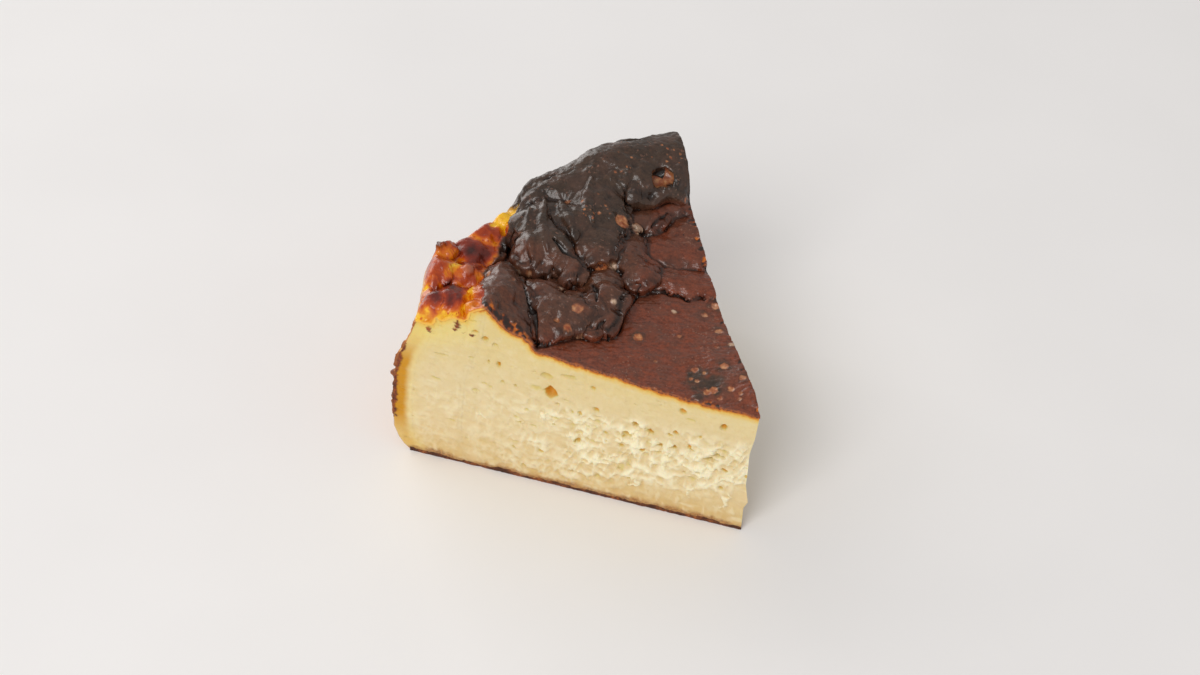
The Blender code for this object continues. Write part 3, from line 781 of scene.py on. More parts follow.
# The cut edge of the crust stands a hair proud of the cut faces, and wavers; its thickness wavers too
proud = 0.09 + 0.09 * grain(skin, 1.5, 51)
skin[on_near, 1] -= proud[on_near]
skin[on_far] += proud[on_far, None] * far_out
thickness = CRUST_THICKNESS * (1 + layered(skin, (0.40, 3.1, 54), (0.20, 1.1, 55)))

under_pick = (skin_ring % UNDER_SPLIT == 0) & (skin_place % UNDER_SPLIT == 0)
under = skin[under_pick] - (thickness[:, None] * flat_normal)[under_pick]
from_edges = np.minimum(np.minimum(skin[:, 1], near_far_cut), from_rim)[under_pick]
under_plan = under[:, 0] - edge_lean(under[:, 2] - PLATEAU_HEIGHT), under[:, 1]
deepest = crown(*under_plan) + np.minimum(relief, 0)[under_pick] - INNER_DEPTH
under[:, 2] += ease(from_edges, 0.3, 1.2) * np.minimum(deepest - under[:, 2], 0)
under_triangles = fan(last_ring // UNDER_SPLIT)[2]


def edge_indices(rings, offset=0):
    """The boundary of a fan in turn: near edge from tip to rim, then the rim, then the far edge back."""
    k = np.arange(rings + 1)
    near, far = ring_start(k), ring_start(k) + k
    return np.concatenate([near, ring_start(rings) + k[1:-1], far[:0:-1]]) + offset


def stitch(fine, coarse, split):
    """Triangles between a fine edge loop and a coarse one with `split` times fewer points."""
    i = np.arange(len(fine))
    upper, upper_next = fine, np.roll(fine, -1)
    lower = coarse[(i + split // 2) // split % len(coarse)]
    lower_next = coarse[(i + 1 + split // 2) // split % len(coarse)]
    sides = np.stack([upper, upper_next, lower], axis=1)
    turn = lower != lower_next
    return np.concatenate([sides, np.stack([upper_next, lower_next, lower], axis=1)[turn]])


crust_points = np.concatenate([skin, under])
crust_triangles = np.concatenate([
    skin_triangles, under_triangles[:, ::-1] + len(skin),
    stitch(edge_indices(last_ring), edge_indices(last_ring // UNDER_SPLIT, len(skin)), UNDER_SPLIT)])


def both_sides(values, beneath=0.0):
    """A value for each point of the top skin, then those of its underside, or one for all of it."""
    return np.concatenate([values, np.broadcast_to(beneath, len(under))])


def side_scorch(turn, height):
    """How far the outer side is scorched at a turn and height: darkest high up, away from the golden rim."""
    return 0.34 * ease(height, 20, 40) * ease(turn, 0.42, 0.72) + 0.07 * ease(3 - height, 0, 3)


def side_colour(f, scorch):
    """Golden-brown side skin: soft patches and fine freckles, darker where it is scorched."""
    shade = f.plus(f.times(f.mottle(12, 4, 0.6), 0.50), f.times(f.mottle(1.1, 4, 0.6), 0.22))
    shade = f.plus(f.plus(shade, f.times(f.mottle(3.6, 3), 0.22)), scorch)
    return f.stops(shade, (0.30, srgb(228, 184, 98)), (0.44, srgb(214, 152, 68)), (0.56, srgb(178, 104, 44)),
                   (0.72, srgb(116, 62, 34)), (0.92, srgb(70, 42, 30)))


def crust_finish():
    """Scorched skin: its colour from where it lies, painted darker as shade where it lies deep, with patches
    and specks of several sizes.
    """
    f = Finish("burnt_skin")
    patches, specks, flecks = f.mottle(7, 5, 0.6), f.mottle(0.7, 4, 0.65), f.mottle(1.3, 2)
    char = f.jitter(f.value("char"), patches, 0.6)
    scorched = f.stops(char, (0.0, srgb(122, 59, 36)), (0.3, srgb(104, 54, 35)), (0.6, srgb(85, 54, 38)),
                       (0.85, srgb(71, 52, 40)), (1.0, srgb(64, 48, 37)))
    streaks = f.plus(f.times(f.mottle(1.1, 4, 0.65, (0.55, 1, 1)), 0.50), f.times(specks, 0.60))
    shading = f.stops(streaks, (0.43, (0.58, 0.53, 0.50, 1)), (0.52, (0.86, 0.83, 0.81, 1)),
                      (0.60, (1.06, 1.04, 1.02, 1)), (0.72, (1.34, 1.27, 1.18, 1)))
    reddish = f.times(f.scaled(flecks, 0.64, 0.74), f.scaled(char, 0.1, 0.9, 0.35, 0.12))
    dots = f.times(f.scaled(f.mottle(0.75, 1), 0.62, 0.68, 0.0, 0.6), f.scaled(patches, 0.46, 0.60))
    clouds = f.times(f.scaled(f.mottle(3.2, 4, 0.6), 0.36, 0.64, 0.30, 0.0), f.scaled(char, 0.35, 0.75))
    gold = f.stops(f.jitter(f.value("gilt"), f.mottle(1.4, 4, 0.65), 0.44),
                   (0.0, srgb(246, 190, 36)), (0.14, srgb(222, 130, 4)), (0.30, srgb(206, 98, 6)),
                   (0.46, srgb(178, 66, 12)), (0.66, srgb(140, 44, 16)), (0.85, srgb(104, 32, 20)),
                   (1.0, srgb(66, 24, 18)))
    fringe = f.times(f.value("fringe"), f.scaled(f.value("golden"), 0, 1, 1, 0))
    crumbs = f.stops(f.value("crumb"), (0.30, srgb(198, 106, 30)), (0.42, srgb(122, 54, 22)),
                     (0.54, srgb(54, 30, 21)), (0.8, srgb(40, 27, 21)))
    blisters = f.stops(flecks, (0.35, srgb(144, 72, 42)), (0.52, srgb(182, 112, 70)),
                       (0.7, srgb(212, 152, 104)))
    beneath = f.stops(specks, (0.38, srgb(88, 40, 18)), (0.58, srgb(190, 102, 18)))
    beneath = f.blend(f.value("golden"), beneath, srgb(240, 188, 84))
    colour = f.coats(
        f.blend(1.0, scorched, shading, "MULTIPLY"),
        (f.scaled(f.mottle(4.5, 3, 0.6), 0.44, 0.62, 0.0, 0.38), srgb(92, 62, 50)),
        (reddish, srgb(140, 68, 42)), (dots, srgb(142, 100, 82)), (clouds, srgb(34, 25, 20)),
        # Painted shade: a broad shadow at the lobes' feet, and darkening in the hollows
        (f.value("shadow"), srgb(20, 13, 10)),
        (f.scaled(f.value("hollow"), 0.03, 0.4, 0.0, 0.80), srgb(28, 14, 10)),
        (f.value("golden"), gold), (fringe, crumbs), (f.value("amber"), blisters),
        # Pale droplets with painted glints, then the painted dark shade of creases, seams and holes
        (f.value("pale"), srgb(206, 176, 150)), (f.value("dark"), srgb(15, 9, 7)),
        (f.value("skirt"), side_colour(f, f.value("scorch"))), (f.value("beneath"), beneath))
    f.bumps((f.mottle(0.8, 3, 0.6), 0.09), (f.times(f.mottle(2.4, 4, 0.55), f.value("hanging")), 0.7))
    return f.finish(colour, f.scaled(patches, 0.35, 0.65, 0.50, 0.36), Specular_IOR_Level=0.10,
                    Coat_Weight=0.8, Coat_Roughness=0.22)


low_on_wall = skin[:, 2] - wall_top(plan_turn) + layered(skin, (1.3, 4.0, 17), (0.8, 1.5, 18))
skirt = fall(low_on_wall, 0.2, 4.4) * fall(from_rim, 1.0, 2.2) * ease(skin[:, 1] + 0.4 * ragged, 3.0, 7.0)
# Painted shade along creases, seams, pinholes, the cavity and the big hole's rim; the rim's tip is burnt
# black
dark = np.clip(0.85 * creases + 0.8 * ease(pinholes, 0.1, 0.6) - np.minimum(amber, 0), 0, 0.9)
burnt_top = piece(
    "burnt_top", crust_points, crust_triangles, crust_finish(),
    char=both_sides(char, char[under_pick]), golden=both_sides(golden, golden[under_pick]),
    amber=both_sides(np.maximum(amber, 0)), pale=both_sides(pale), dark=both_sides(dark),
    hollow=both_sides(cavity), gilt=both_sides(gilt), fringe=both_sides(fringe), shadow=both_sides(shadow),
    crumb=both_sides(0.44 + 0.5 * crumbly, 0.3), skirt=both_sides(skirt),
    scorch=both_sides(side_scorch(plan_turn, skin[:, 2])),
    hanging=both_sides(hanging * ease(near_far_cut, 0.0, 1.5) * ease(skin[:, 1], 0.0, 6.0)),
    beneath=both_sides(np.zeros(len(skin)), fall(from_edges, 1.0, 2.5)))
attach(burnt_top, "root")

# ---------------------------------------------------------------------------------------------------------
# The custard: baked cream cheese, pale and moist where the knife cut it, smooth above, torn into soft curds
# in a band below the middle, with bubble holes. It is one closed body under the skin, yellow near the crust.

TUCK = 0.15                         # how far the custard reaches into the crust's thickness
CUSTARD_ROWS = 168
WALL_INSET = 0.35

near_fine = ring_start(np.arange(last_ring + 1))
far_fine = near_fine + np.arange(last_ring + 1)
top_edge = onto_cuts(skin, on_near, on_far) - (thickness - TUCK)[:, None] * flat_normal
near_top, far_top = top_edge[near_fine], top_edge[far_fine][::2]
rim_top = top_edge[ring_start(last_ring):][::4]


def round_tip(reach, turn, height):
    """Points at a distance from the tip's leaning edge, at an angle round the cake and a height."""
    return np.stack([edge_lean(height) - reach * np.cos(turn), reach * np.sin(turn), height], axis=2)


def cut_columns(top, turn):
    """Columns of a cut face from base to crust: evenly shared out below, at the crust's own points above."""
    rise = np.linspace(0, 1, CUSTARD_ROWS)
    height = top[:, 2:] * rise
    reach = rim_reach(turn, height)
    top_share = np.hypot(top[:, 0] - edge_lean(top[:, 2]), top[:, 1]) / reach[:, -1]
    low_share = top_share / top_share.max()
    share = low_share[:, None] + (top_share - low_share)[:, None] * rise ** 4
    return round_tip(share * reach, turn, height)


def wall_columns(top):
    """Columns of the outer side, a little inside the wall's skin."""
    turn = np.linspace(0, SLICE_ANGLE, len(top))[:, None]
    rise = np.linspace(0, 1, CUSTARD_ROWS)
    height = top[:, 2:] * rise
    reach = rim_reach(turn, height) - WALL_INSET
    top_reach = np.hypot(top[:, 0] - edge_lean(top[:, 2]), top[:, 1])
    return round_tip(reach + (top_reach - reach[:, -1])[:, None] * rise ** 4, turn, height)


near_face, far_face = cut_columns(near_top, 0.0), cut_columns(far_top, SLICE_ANGLE)
outer_side = wall_columns(rim_top)


def edge_distance(face, top):
    """Distance of each point of a cut face from the underside of the crust."""
    rows = [np.min(np.linalg.norm(row[:, None, :] - top[None, :, :], axis=2), axis=1)
            for row in face.transpose(1, 0, 2)]
    return np.stack(rows, axis=1)


def curds(across, height):
    """Share of the torn band of curds at a place of a cut face: strongest toward the tip, below the middle.
    """
    top, bottom = 24.5 - 0.02 * across, 10.5 - 0.17 * across
    band = ease(top + 2.0 - height, 0, 4.5) * ease(height - bottom + 4.0, 0, 8.5)
    return band * (1 - 0.80 * ease(across, 34, 66)) + 0.08


def face_place(across, height, layer=0.0):
    """Places on a cut face as a list of points, in a layer of the random bumps."""
    return np.stack([across.ravel(), height.ravel(), np.full(across.size, layer)], axis=1)


def cut_relief(across, height, seed):
    """How deep a cut face lies, by knife smears, curds and pores; how light its curds are, partly as painted
    highlight; and the painted shade in its pores and holes.
    """
    layer = 7.3 * seed
    place = face_place(across, height, layer)
    torn = np.clip(curds(across, height) * (1 + 1.1 * grain(place, 6.0, 59)), 0, 1)
    low = fall(height, 6, 12)
    smear = face_place(across / 4, height - 0.1 * across, layer)
    depth = layered(place, (0.10, 9.0, 58), (0.09, 1.7, 61 + seed)) + 0.08 * grain(smear, 1.3, 60 + seed)
    tears = grain(place * (1, 0.4, 1), 1.1, 62)
    depth += (0.05 + 0.12 * low) * tears
    u, v = across + 1.1 * grain(place, 3.1, 63), height + 1.1 * grain(place, 3.1, 64)
    flow = face_place(0.62 * u + 0.30 * v, v - 0.25 * u, layer)
    upright = face_place(across + 0.35 * height, 0.35 * height, layer)
    lumps = layered(flow, (0.56, 2.5, 65), (0.42, 1.25, 66)) + 0.17 * grain(place, 0.7, 67)
    lumps += 0.50 * cracks(upright, 1.8, 70, 5) - 0.20
    depth -= torn * (0.78 * lumps + 0.10)
    leaning = face_place(0.30 * across + 0.1 * height, height - 0.16 * across, layer)
    slits = dimples(leaning, 1.7, (0.18, 0.46), 0.38, 68 + seed) * ease(height, 5, 9)
    pores = dimples(place * (0.7, 1, 1), 1.4, (0.14, 0.30), 0.16, 72 + seed)
    holes = dimples(place * (0.85, 1, 1), 2.5, (0.26, 0.80), 0.7, 76 + seed) * ease(torn, 0.2, 0.6)
    depth += 0.50 * slits ** 0.6 + 0.34 * pores ** 0.6 + 0.85 * holes ** 0.6
    lips = ease(grain(leaning, 1.5, 69), 0.30, 0.75) * fall(height, 22, 34)
    # Lighter curds, lips and streaks: partly the curds' own tone, partly painted highlight on their raised
    # tops
    lightness_and_highlight = np.maximum.reduce([
        torn * ease(lumps, -0.40, 0.45), 0.35 * lips, 0.35 * low * ease(-tears, 0.2, 0.7)])
    # Painted shade: olive in slits, pores and between the curds, amber in holes
    hollows = np.maximum.reduce([
        0.38 * ease(slits, 0, 0.6), 0.34 * ease(pores, 0.1, 0.8), 0.62 * ease(holes, 0.05, 0.7),
        0.36 * torn * ease(-lumps, 0.30, 0.70)])
    return depth, lightness_and_highlight, hollows


# White ridges that the knife drew up in the near cut's curds: path by distance from the tip's foot and
# height, and width
# The ridges are raised, and painted light, partly as highlight
CURD_RIDGES = (
    (((24.7, 21.7), (25.2, 16.5)), 0.8), (((17.1, 21.5), (18.0, 17.1), (19.1, 12.1)), 0.9),
    (((11.1, 17.4), (8.4, 20.0), (5.5, 23.3)), 1.0), (((35.2, 11.0), (32.5, 11.3), (29.3, 13.5)), 0.7),
    (((14.5, 14.7), (10.1, 14.8), (6.4, 16.5)), 0.9), (((48.3, 19.1), (46.1, 20.6)), 0.7),
    (((6.5, 12.9), (2.0, 14.2)), 0.9), (((3.4, 9.1), (4.6, 4.6)), 0.7), (((22.0, 18.5), (20.3, 20.4)), 0.9),
    (((30.5, 17.5), (27.0, 18.2), (24.5, 17.2)), 0.7), (((12.0, 9.5), (13.2, 5.6)), 0.6),
    (((42.0, 15.6), (38.6, 16.4)), 0.6), (((38.0, 8.9), (35.6, 8.8)), 0.5),
    (((63.8, 16.2), (60.9, 15.2)), 0.5), (((26.9, 5.2), (24.3, 6.6)), 0.5),
)
# Single holes of the near cut: distance from the tip's foot, height, half width, half height, depth
HOLES = (
    (49.3, 27.2, 1.5, 0.80, 0.4), (46.6, 31.3, 1.6, 0.80, 1.0), (41.4, 32.5, 1.8, 0.60, 0.9),
    (58.1, 31.4, 0.5, 0.90, 0.8), (30.8, 35.3, 0.3, 0.30, 0.4), (35.7, 30.8, 0.8, 0.50, 0.6),
    (14.6, 30.3, 0.9, 0.80, 0.9), (5.2, 28.3, 0.9, 0.90, 1.2), (25.5, 23.5, 0.8, 0.90, 1.3),
    (22.1, 22.1, 0.8, 0.70, 1.2), (27.5, 20.0, 1.2, 0.90, 1.2), (8.0, 18.2, 1.9, 0.65, 1.4),
    (6.0, 19.6, 1.6, 0.55, 1.2), (4.5, 16.1, 0.8, 0.50, 1.0), (60.5, 31.8, 0.35, 0.40, 0.7),
    (74.5, 39.6, 0.45, 0.75, 0.5), (71.9, 30.5, 2.0, 0.30, 0.5), (65.0, 31.8, 0.9, 0.35, 0.4),
    (63.8, 22.5, 1.2, 0.35, 0.4), (60.4, 24.4, 0.7, 0.50, 0.4), (57.2, 26.7, 0.5, 0.40, 0.5),
    (54.3, 26.4, 0.5, 0.40, 0.5), (54.2, 17.3, 0.7, 0.40, 0.5), (34.9, 24.9, 0.8, 0.60, 0.7),
    (38.7, 22.9, 0.6, 0.50, 0.6), (40.6, 22.6, 0.4, 0.50, 0.5), (51.5, 20.1, 0.6, 0.50, 0.4),
    (63.6, 39.4, 0.8, 0.50, 0.7), (61.3, 38.0, 0.9, 0.60, 0.7), (58.9, 36.8, 0.8, 0.40, 0.5),
    (32.0, 10.9, 0.6, 0.50, 0.5), (16.1, 23.6, 0.7, 0.60, 0.8), (16.4, 19.4, 0.8, 0.60, 0.9),
    (12.7, 20.5, 0.6, 0.70, 0.8), (23.9, 16.3, 0.7, 0.60, 0.8), (19.7, 19.0, 0.8, 0.50, 0.8),
)
# The large bubble's corners in turn: distance from the tip's foot, height
BUBBLE = ((45.8, 29.1), (44.6, 28.0), (43.9, 26.4), (45.7, 24.9), (46.8, 25.5), (47.4, 27.2))
BUBBLE_DEPTH = 1.9


def near_marks(across, height):
    """Single holes, which are dents with steep rims, and the straight-sided bubble, with their painted shade;
    and the white ridges.
    """
    place = face_place(across, height)
    wander, waver = (0.25 * grain(place, 1.3, seed).reshape(across.shape) for seed in (56, 57))
    depth, share, ridge = np.zeros((3, *across.shape))
    for middle, level, half_width, half_height, deep in HOLES:
        gap = ((across - middle + wander) / half_width) ** 2 + ((height - level + waver) / half_height) ** 2
        dent = np.clip(1 - gap, 0, 1) ** 0.5
        depth = np.maximum(depth, deep * dent)
        # How much painted shade each hole holds
        share = np.maximum(share, dent * min(1, deep / 0.9, 0.8 / half_width))
    within = np.full(across.shape, 9.0)
    for (x0, z0), (x1, z1) in zip(BUBBLE, BUBBLE[1:] + BUBBLE[:1]):
        side = ((x1 - x0) * (height - z0) - (z1 - z0) * (across - x0)) / np.hypot(x1 - x0, z1 - z0)
        within = np.minimum(within, side + 0.4 * wander)
    depth = np.maximum(depth, BUBBLE_DEPTH * ease(within, -0.1, 1.1))
    # The bubble's painted shade, strongest under its upper rim
    share = np.maximum(share, ease(within, -0.15, 0.3) * (0.58 + 0.42 * ease(height, 24.5, 28.0)))
    wavering = face_place(across + 4.0 * waver, height + 4.0 * wander)
    for path, width in CURD_RIDGES:
        ridge = np.maximum(ridge, seam(wavering, path, width).reshape(across.shape))
    return depth - 0.55 * ridge, share * (1 - ridge), ridge


# Brown crumbs stuck to the near cut under the golden rim: distance from the tip's foot, height, and half of
# their width and height
SPECKS = ((67.8, 40.4, 0.8, 1.1), (68.4, 38.8, 0.5, 0.5), (66.6, 38.2, 0.4, 0.3), (74.9, 37.3, 0.6, 1.0),
          (64.3, 38.3, 0.7, 0.35))
# Width of the brown side skin at the outer edge of the near cut, at some heights, and of the far cut
SCAB_HEIGHTS = (0.0, 8.2, 9.8, 13.0, 20.5, 21.3, 22.2, 24.0, 27.5, 28.6, 29.6, 31.0, 31.6, 60.0)
SCAB_WIDTHS = (0.0, 0.0, 0.8, 1.0, 0.8, 0.4, 0.5, 1.3, 1.1, 0.5, 0.9, 0.5, 0.0, 0.0)
FAR_SCAB_WIDTH = 0.8
# How far the tip's edge stands in or out at some heights
TIP_HEIGHTS = (0.0, 1.0, 6.0, 8.5, 13.0, 17.5, 22.0, 27.0, 33.0, 36.0)
TIP_STANDS = (0.0, 0.1, -0.2, 0.8, -0.6, -0.7, -1.0, -0.2, 0.1, 0.0)
NEAR_SEED, FAR_SEED = 0, 4          # keep the random bumps of the two cuts apart


def speck_share(across, height):
    """1 on the brown crumbs of the near cut, which are ragged ovals."""
    uneven = 0.9 * grain(face_place(across, height), 0.7, 90).reshape(across.shape)
    gaps = [np.hypot((across - middle) / wide, (height - level) / high)
            for middle, level, wide, high in SPECKS]
    return fall(np.min(gaps, axis=0) + uneven, 0.7, 1.1)


def scab_share(face, from_wall, seed):
    """1 on the brown side skin that a cut face shows at its outer edge, 0 on the custard."""
    uneven = layered(face.reshape(-1, 3), (0.60, 1.9, 78 + seed), (0.40, 0.7, 79)).reshape(from_wall.shape)
    width = np.interp(face[..., 2] + 2 * uneven, SCAB_HEIGHTS, SCAB_WIDTHS)
    if seed != NEAR_SEED:
        width = np.full(from_wall.shape, FAR_SCAB_WIDTH)
    return ease(width - from_wall + 0.6 * uneven * (width > 0.05), -0.12, 0.18)


def finished_face(face, top, turn, inward, seed):
    """A cut face with its relief, and for each point how far crust and wall are, and each look's share."""
    from_crust, height = edge_distance(face, top), face[..., 2]
    across = np.hypot(face[..., 0] - edge_lean(height), face[..., 1])
    from_wall = rim_reach(turn, height) - across
    values = cut_relief(across.ravel(), height.ravel(), seed)
    depth, curd_tone_and_highlight, hole_shade = (value.reshape(height.shape) for value in values)
    scab, mild = scab_share(face, from_wall, seed), np.zeros(height.shape)
    if seed == NEAR_SEED:
        single, single_hole_shade, ridge = near_marks(-face[..., 0], height)
        depth, hole_shade = depth + single, np.maximum(hole_shade * (1 - ridge), single_hole_shade)
        curd_tone_and_highlight = np.maximum(curd_tone_and_highlight, 0.9 * ease(ridge, 0, 0.8))
        scab = np.maximum(scab, speck_share(-face[..., 0], height))
    calm = ease(from_crust, 0.0, 1.2) * ease(from_wall, 0.0, 1.5) * ease(across, 0.0, 1.5)
    calm *= ease(height, 0, 1)
    face = face + (depth * calm - 0.25 * scab)[..., None] * inward
    stand = np.interp(face[..., 2], TIP_HEIGHTS, TIP_STANDS) * fall(across, 0, 3.0) * ease(from_crust, 0, 1.5)
    outward = np.array([np.cos(SLICE_ANGLE / 2), -np.sin(SLICE_ANGLE / 2), 0.0])
    face = face + stand[..., None] * outward
    if seed == NEAR_SEED:
        mild = ease(-face[..., 0], 61.5, 65.0)
    return face, from_crust, from_wall, curd_tone_and_highlight, hole_shade, scab, mild


near_values = finished_face(near_face, near_top, 0.0, np.array([0.0, 1.0, 0.0]), NEAR_SEED)
far_values = finished_face(far_face, far_top, SLICE_ANGLE, -far_out, FAR_SEED)
side_shape = outer_side[1:-1].shape[:2]
side_values = (outer_side[1:-1], np.full(side_shape, 9.0), *np.zeros((5, *side_shape)))
columns, *column_values = [np.concatenate([near, side, far[:0:-1]]) for near, side, far in
                           zip(near_values, side_values, far_values)]
loop = len(columns)
wall_points = columns.reshape(-1, 3)


def two_triangles(a, b, c, d):
    """Two triangles for each four-sided patch a, b, c, d."""
    return np.concatenate([np.stack([a, b, c], axis=1), np.stack([a, c, d], axis=1)])


def grid_faces(columns, rows, closed=True):
    """Triangles of a wall of columns, each `rows` points high, seen from outside; a loop, or open."""
    starts = np.arange(columns if closed else columns - 1)
    column, row = np.meshgrid(starts, np.arange(rows - 1), indexing="ij")
    a = (column * rows + row).ravel()
    b = ((column + 1) % columns * rows + row).ravel()
    return two_triangles(a, a + 1, b + 1, b)


def cap(ring, middle, upward):
    """Triangles that close a ring of points to one middle point."""
    following = np.roll(ring, -1)
    if upward:
        ring, following = following, ring
    return np.stack([ring, following, np.full(len(ring), middle)], axis=1)


# Under the crust the body closes in rings that keep below the crown: share of the way in, depth
MIDDLE = (-45.0, 22.0)              # the plan point that they draw in to
CAP_FOOT, CAP_TOP, CAP_AIM = 0.0, 28.0, 30.0
CAP_SHARES = np.array([0.03, 0.08, 0.16, 0.30, 0.50, 0.75])
CAP_DEPTHS = np.array([1.6, 3.0, 3.5, 3.5, 3.5, 4.0])
low_ring = np.arange(loop) * CUSTARD_ROWS
top_ring = wall_points[low_ring + CUSTARD_ROWS - 1]
cap_rings = top_ring + CAP_SHARES[:, None, None] * ((*MIDDLE, CAP_AIM) - top_ring)
below_crown = crown(cap_rings[..., 0], cap_rings[..., 1]) - CAP_DEPTHS[:, None]
cap_rings[..., 2] = np.minimum(top_ring[:, 2] - 0.5, below_crown)
custard_points = np.concatenate([
    wall_points, [(*MIDDLE, CAP_FOOT), (*MIDDLE, CAP_TOP)], cap_rings.reshape(-1, 3)])
first_cap = len(wall_points) + 2 + np.arange(len(CAP_SHARES)) * loop
rings = [low_ring + CUSTARD_ROWS - 1, *(first_cap[:, None] + np.arange(loop))]
custard_triangles = np.concatenate([
    grid_faces(loop, CUSTARD_ROWS), cap(low_ring, len(wall_points), False),
    *(two_triangles(a, b, np.roll(b, -1), np.roll(a, -1)) for a, b in zip(rings[:-1], rings[1:])),
    cap(rings[-1], len(wall_points) + 1, True)])


def custard_finish():
    """Baked custard: cream, tan low down, lighter on curds partly as painted highlight, painted amber shade
    in holes, golden at the wall and crust.
    """
    f = Finish("baked_custard")
    height = f.node("ShaderNodeSeparateXYZ", _0=f.place).outputs[2]
    cloudy, fine = f.mottle(8, 3), f.mottle(0.5, 3)
    from_crust, from_wall = f.value("from_crust"), f.value("from_wall")
    mild, hole_shade = f.value("mild"), f.value("hole_shade")
    cream = f.stops(f.times(f.jitter(height, cloudy, 0.006), 25),
                    (0.0, srgb(208, 169, 106)), (0.08, srgb(218, 188, 130)), (0.25, srgb(225, 201, 152)),
                    (0.60, srgb(226, 205, 157)), (1.0, srgb(223, 201, 141)))
    yellow = f.scaled(f.jitter(from_wall, f.mottle(5, 2), 3.0), 1.5, 7.5, 0.55, 0.0)
    inner = f.jitter(from_wall, f.mottle(3, 2), 1.2)
    strip = f.times(f.scaled(inner, 2.2, 4.2, 1.0, 0.0), f.scaled(height, 0.026, 0.034, 1.0, 0.25))
    strip = f.times(strip, f.scaled(height, 0.004, 0.012, 0.35, 0.97))
    buttery = f.times(f.scaled(mild, 0.0, 1.0, 0.06, 0.60), f.scaled(from_crust, 1, 9, 1, 0))
    crust = f.plus(f.jitter(from_crust, f.mottle(0.9, 3), 0.9), f.times(mild, 0.55))
    brown = f.times(f.scaled(crust, 0.0, 0.36, 1.0, 0.0), f.scaled(mild, 0, 1, 1, 0))
    foot = f.jitter(f.scaled(height, 0.0004, 0.0032, 1.0, 0.0), f.mottle(3.4, 5), 2.0)
    # Painted shade in the holes and hollows: olive where shallow, amber where deep
    amber = f.stops(hole_shade, (0.36, srgb(212, 196, 118)), (0.8, srgb(214, 144, 0)))
    scab = f.stops(f.mottle(1.0, 5, 0.7), (0.36, srgb(164, 84, 32)), (0.50, srgb(118, 54, 26)),
                   (0.62, srgb(84, 40, 24)))
    tan = f.stops(fine, (0.4, srgb(134, 84, 44)), (0.6, srgb(182, 126, 70)))
    colour = f.coats(
        cream, (f.times(f.scaled(f.mottle(1.2, 3), 0.52, 0.72), 0.22), srgb(206, 182, 116)),
        (f.times(f.scaled(f.mottle(2.6, 3), 0.50, 0.70), 0.25), srgb(236, 221, 184)),
        # Curds lighter, partly as painted highlight on their raised tops
        (f.times(f.value("curd_tone_and_highlight"), 0.85), srgb(249, 242, 210)), (yellow, srgb(232, 205, 114)),
        (strip, srgb(202, 140, 4)), (buttery, srgb(234, 212, 122)),
        (f.scaled(hole_shade, 0.0, 0.55, 0.0, 0.9), amber),
        (f.scaled(crust, 0.5, 2.3, 0.90, 0.0), srgb(230, 187, 78)),
        (f.scaled(crust, 0.3, 1.05, 0.95, 0.0), srgb(204, 116, 16)), (brown, srgb(116, 52, 20)),
        (f.value("scab"), scab), (f.scaled(foot, 0.25, 0.95, 0.0, 0.8), tan))
    f.bumps((f.mottle(0.9, 4, 0.6), 0.10), (f.mottle(0.35, 2), 0.04))
    return f.finish(colour, f.scaled(cloudy, 0.3, 0.7, 0.36, 0.50), Specular_IOR_Level=0.30,
                    Subsurface_Weight=0.15, Subsurface_Radius=(1.0, 0.62, 0.30), Subsurface_Scale=0.0012)


# Each value's number in the middle of the foot, and in the cap under the crust
CAP_VALUES = dict(from_crust=(9, 0), from_wall=(9, 9), curd_tone_and_highlight=(0, 0), hole_shade=(0, 0), scab=(0, 0), mild=(0, 0))
custard_values = {
    name: np.concatenate([values.ravel(), [low], np.full(1 + cap_rings[..., 0].size, high)])
    for (name, (low, high)), values in zip(CAP_VALUES.items(), column_values)}
custard_body = piece("custard_body", custard_points, custard_triangles, custard_finish(), **custard_values)
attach(custard_body, "root")
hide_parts("cheesecake_slice")

# ---------------------------------------------------------------------------------------------------------
# The baked side: the golden-brown skin of the outer wall, creased by the folded baking paper it was baked
# in, a thin sheet on the custard that has torn away in places along the cut.

SIDE_COLUMNS, SIDE_ROWS = 300, 110
SIDE_THICKNESS = 0.45
# At the near cut the side's skin curls out in flakes (+), or has come off the custard (-)
FLAKE_HEIGHTS = (0.0, 8.0, 9.6, 13.0, 20.3, 21.7, 22.8, 24.0, 27.0, 28.5, 29.5, 30.8, 32.0, 36.0, 37.5, 39.0)
FLAKE_REACH = (-1.2, -1.1, 0.3, 0.5, 0.4, 1.5, -0.4, 0.6, 0.8, 0.4, -0.8, 0.9, -1.2, -1.1, 0.4, -1.0)
PAPER_CREASES = 17

turn_share, rise_share = np.meshgrid(
    np.linspace(0, 1, SIDE_COLUMNS), np.linspace(0, 1, SIDE_ROWS), indexing="ij")
side_turn = SLICE_ANGLE * turn_share
side_top = wall_top(side_turn)
side_height = -0.1 + (side_top + 0.3) * rise_share
round_wall = BULGE_RADIUS * side_turn
side_place = face_place(round_wall, side_height)


def on_side(values):
    """A list of values laid out as the side's columns and rows."""
    return values.reshape(side_height.shape)


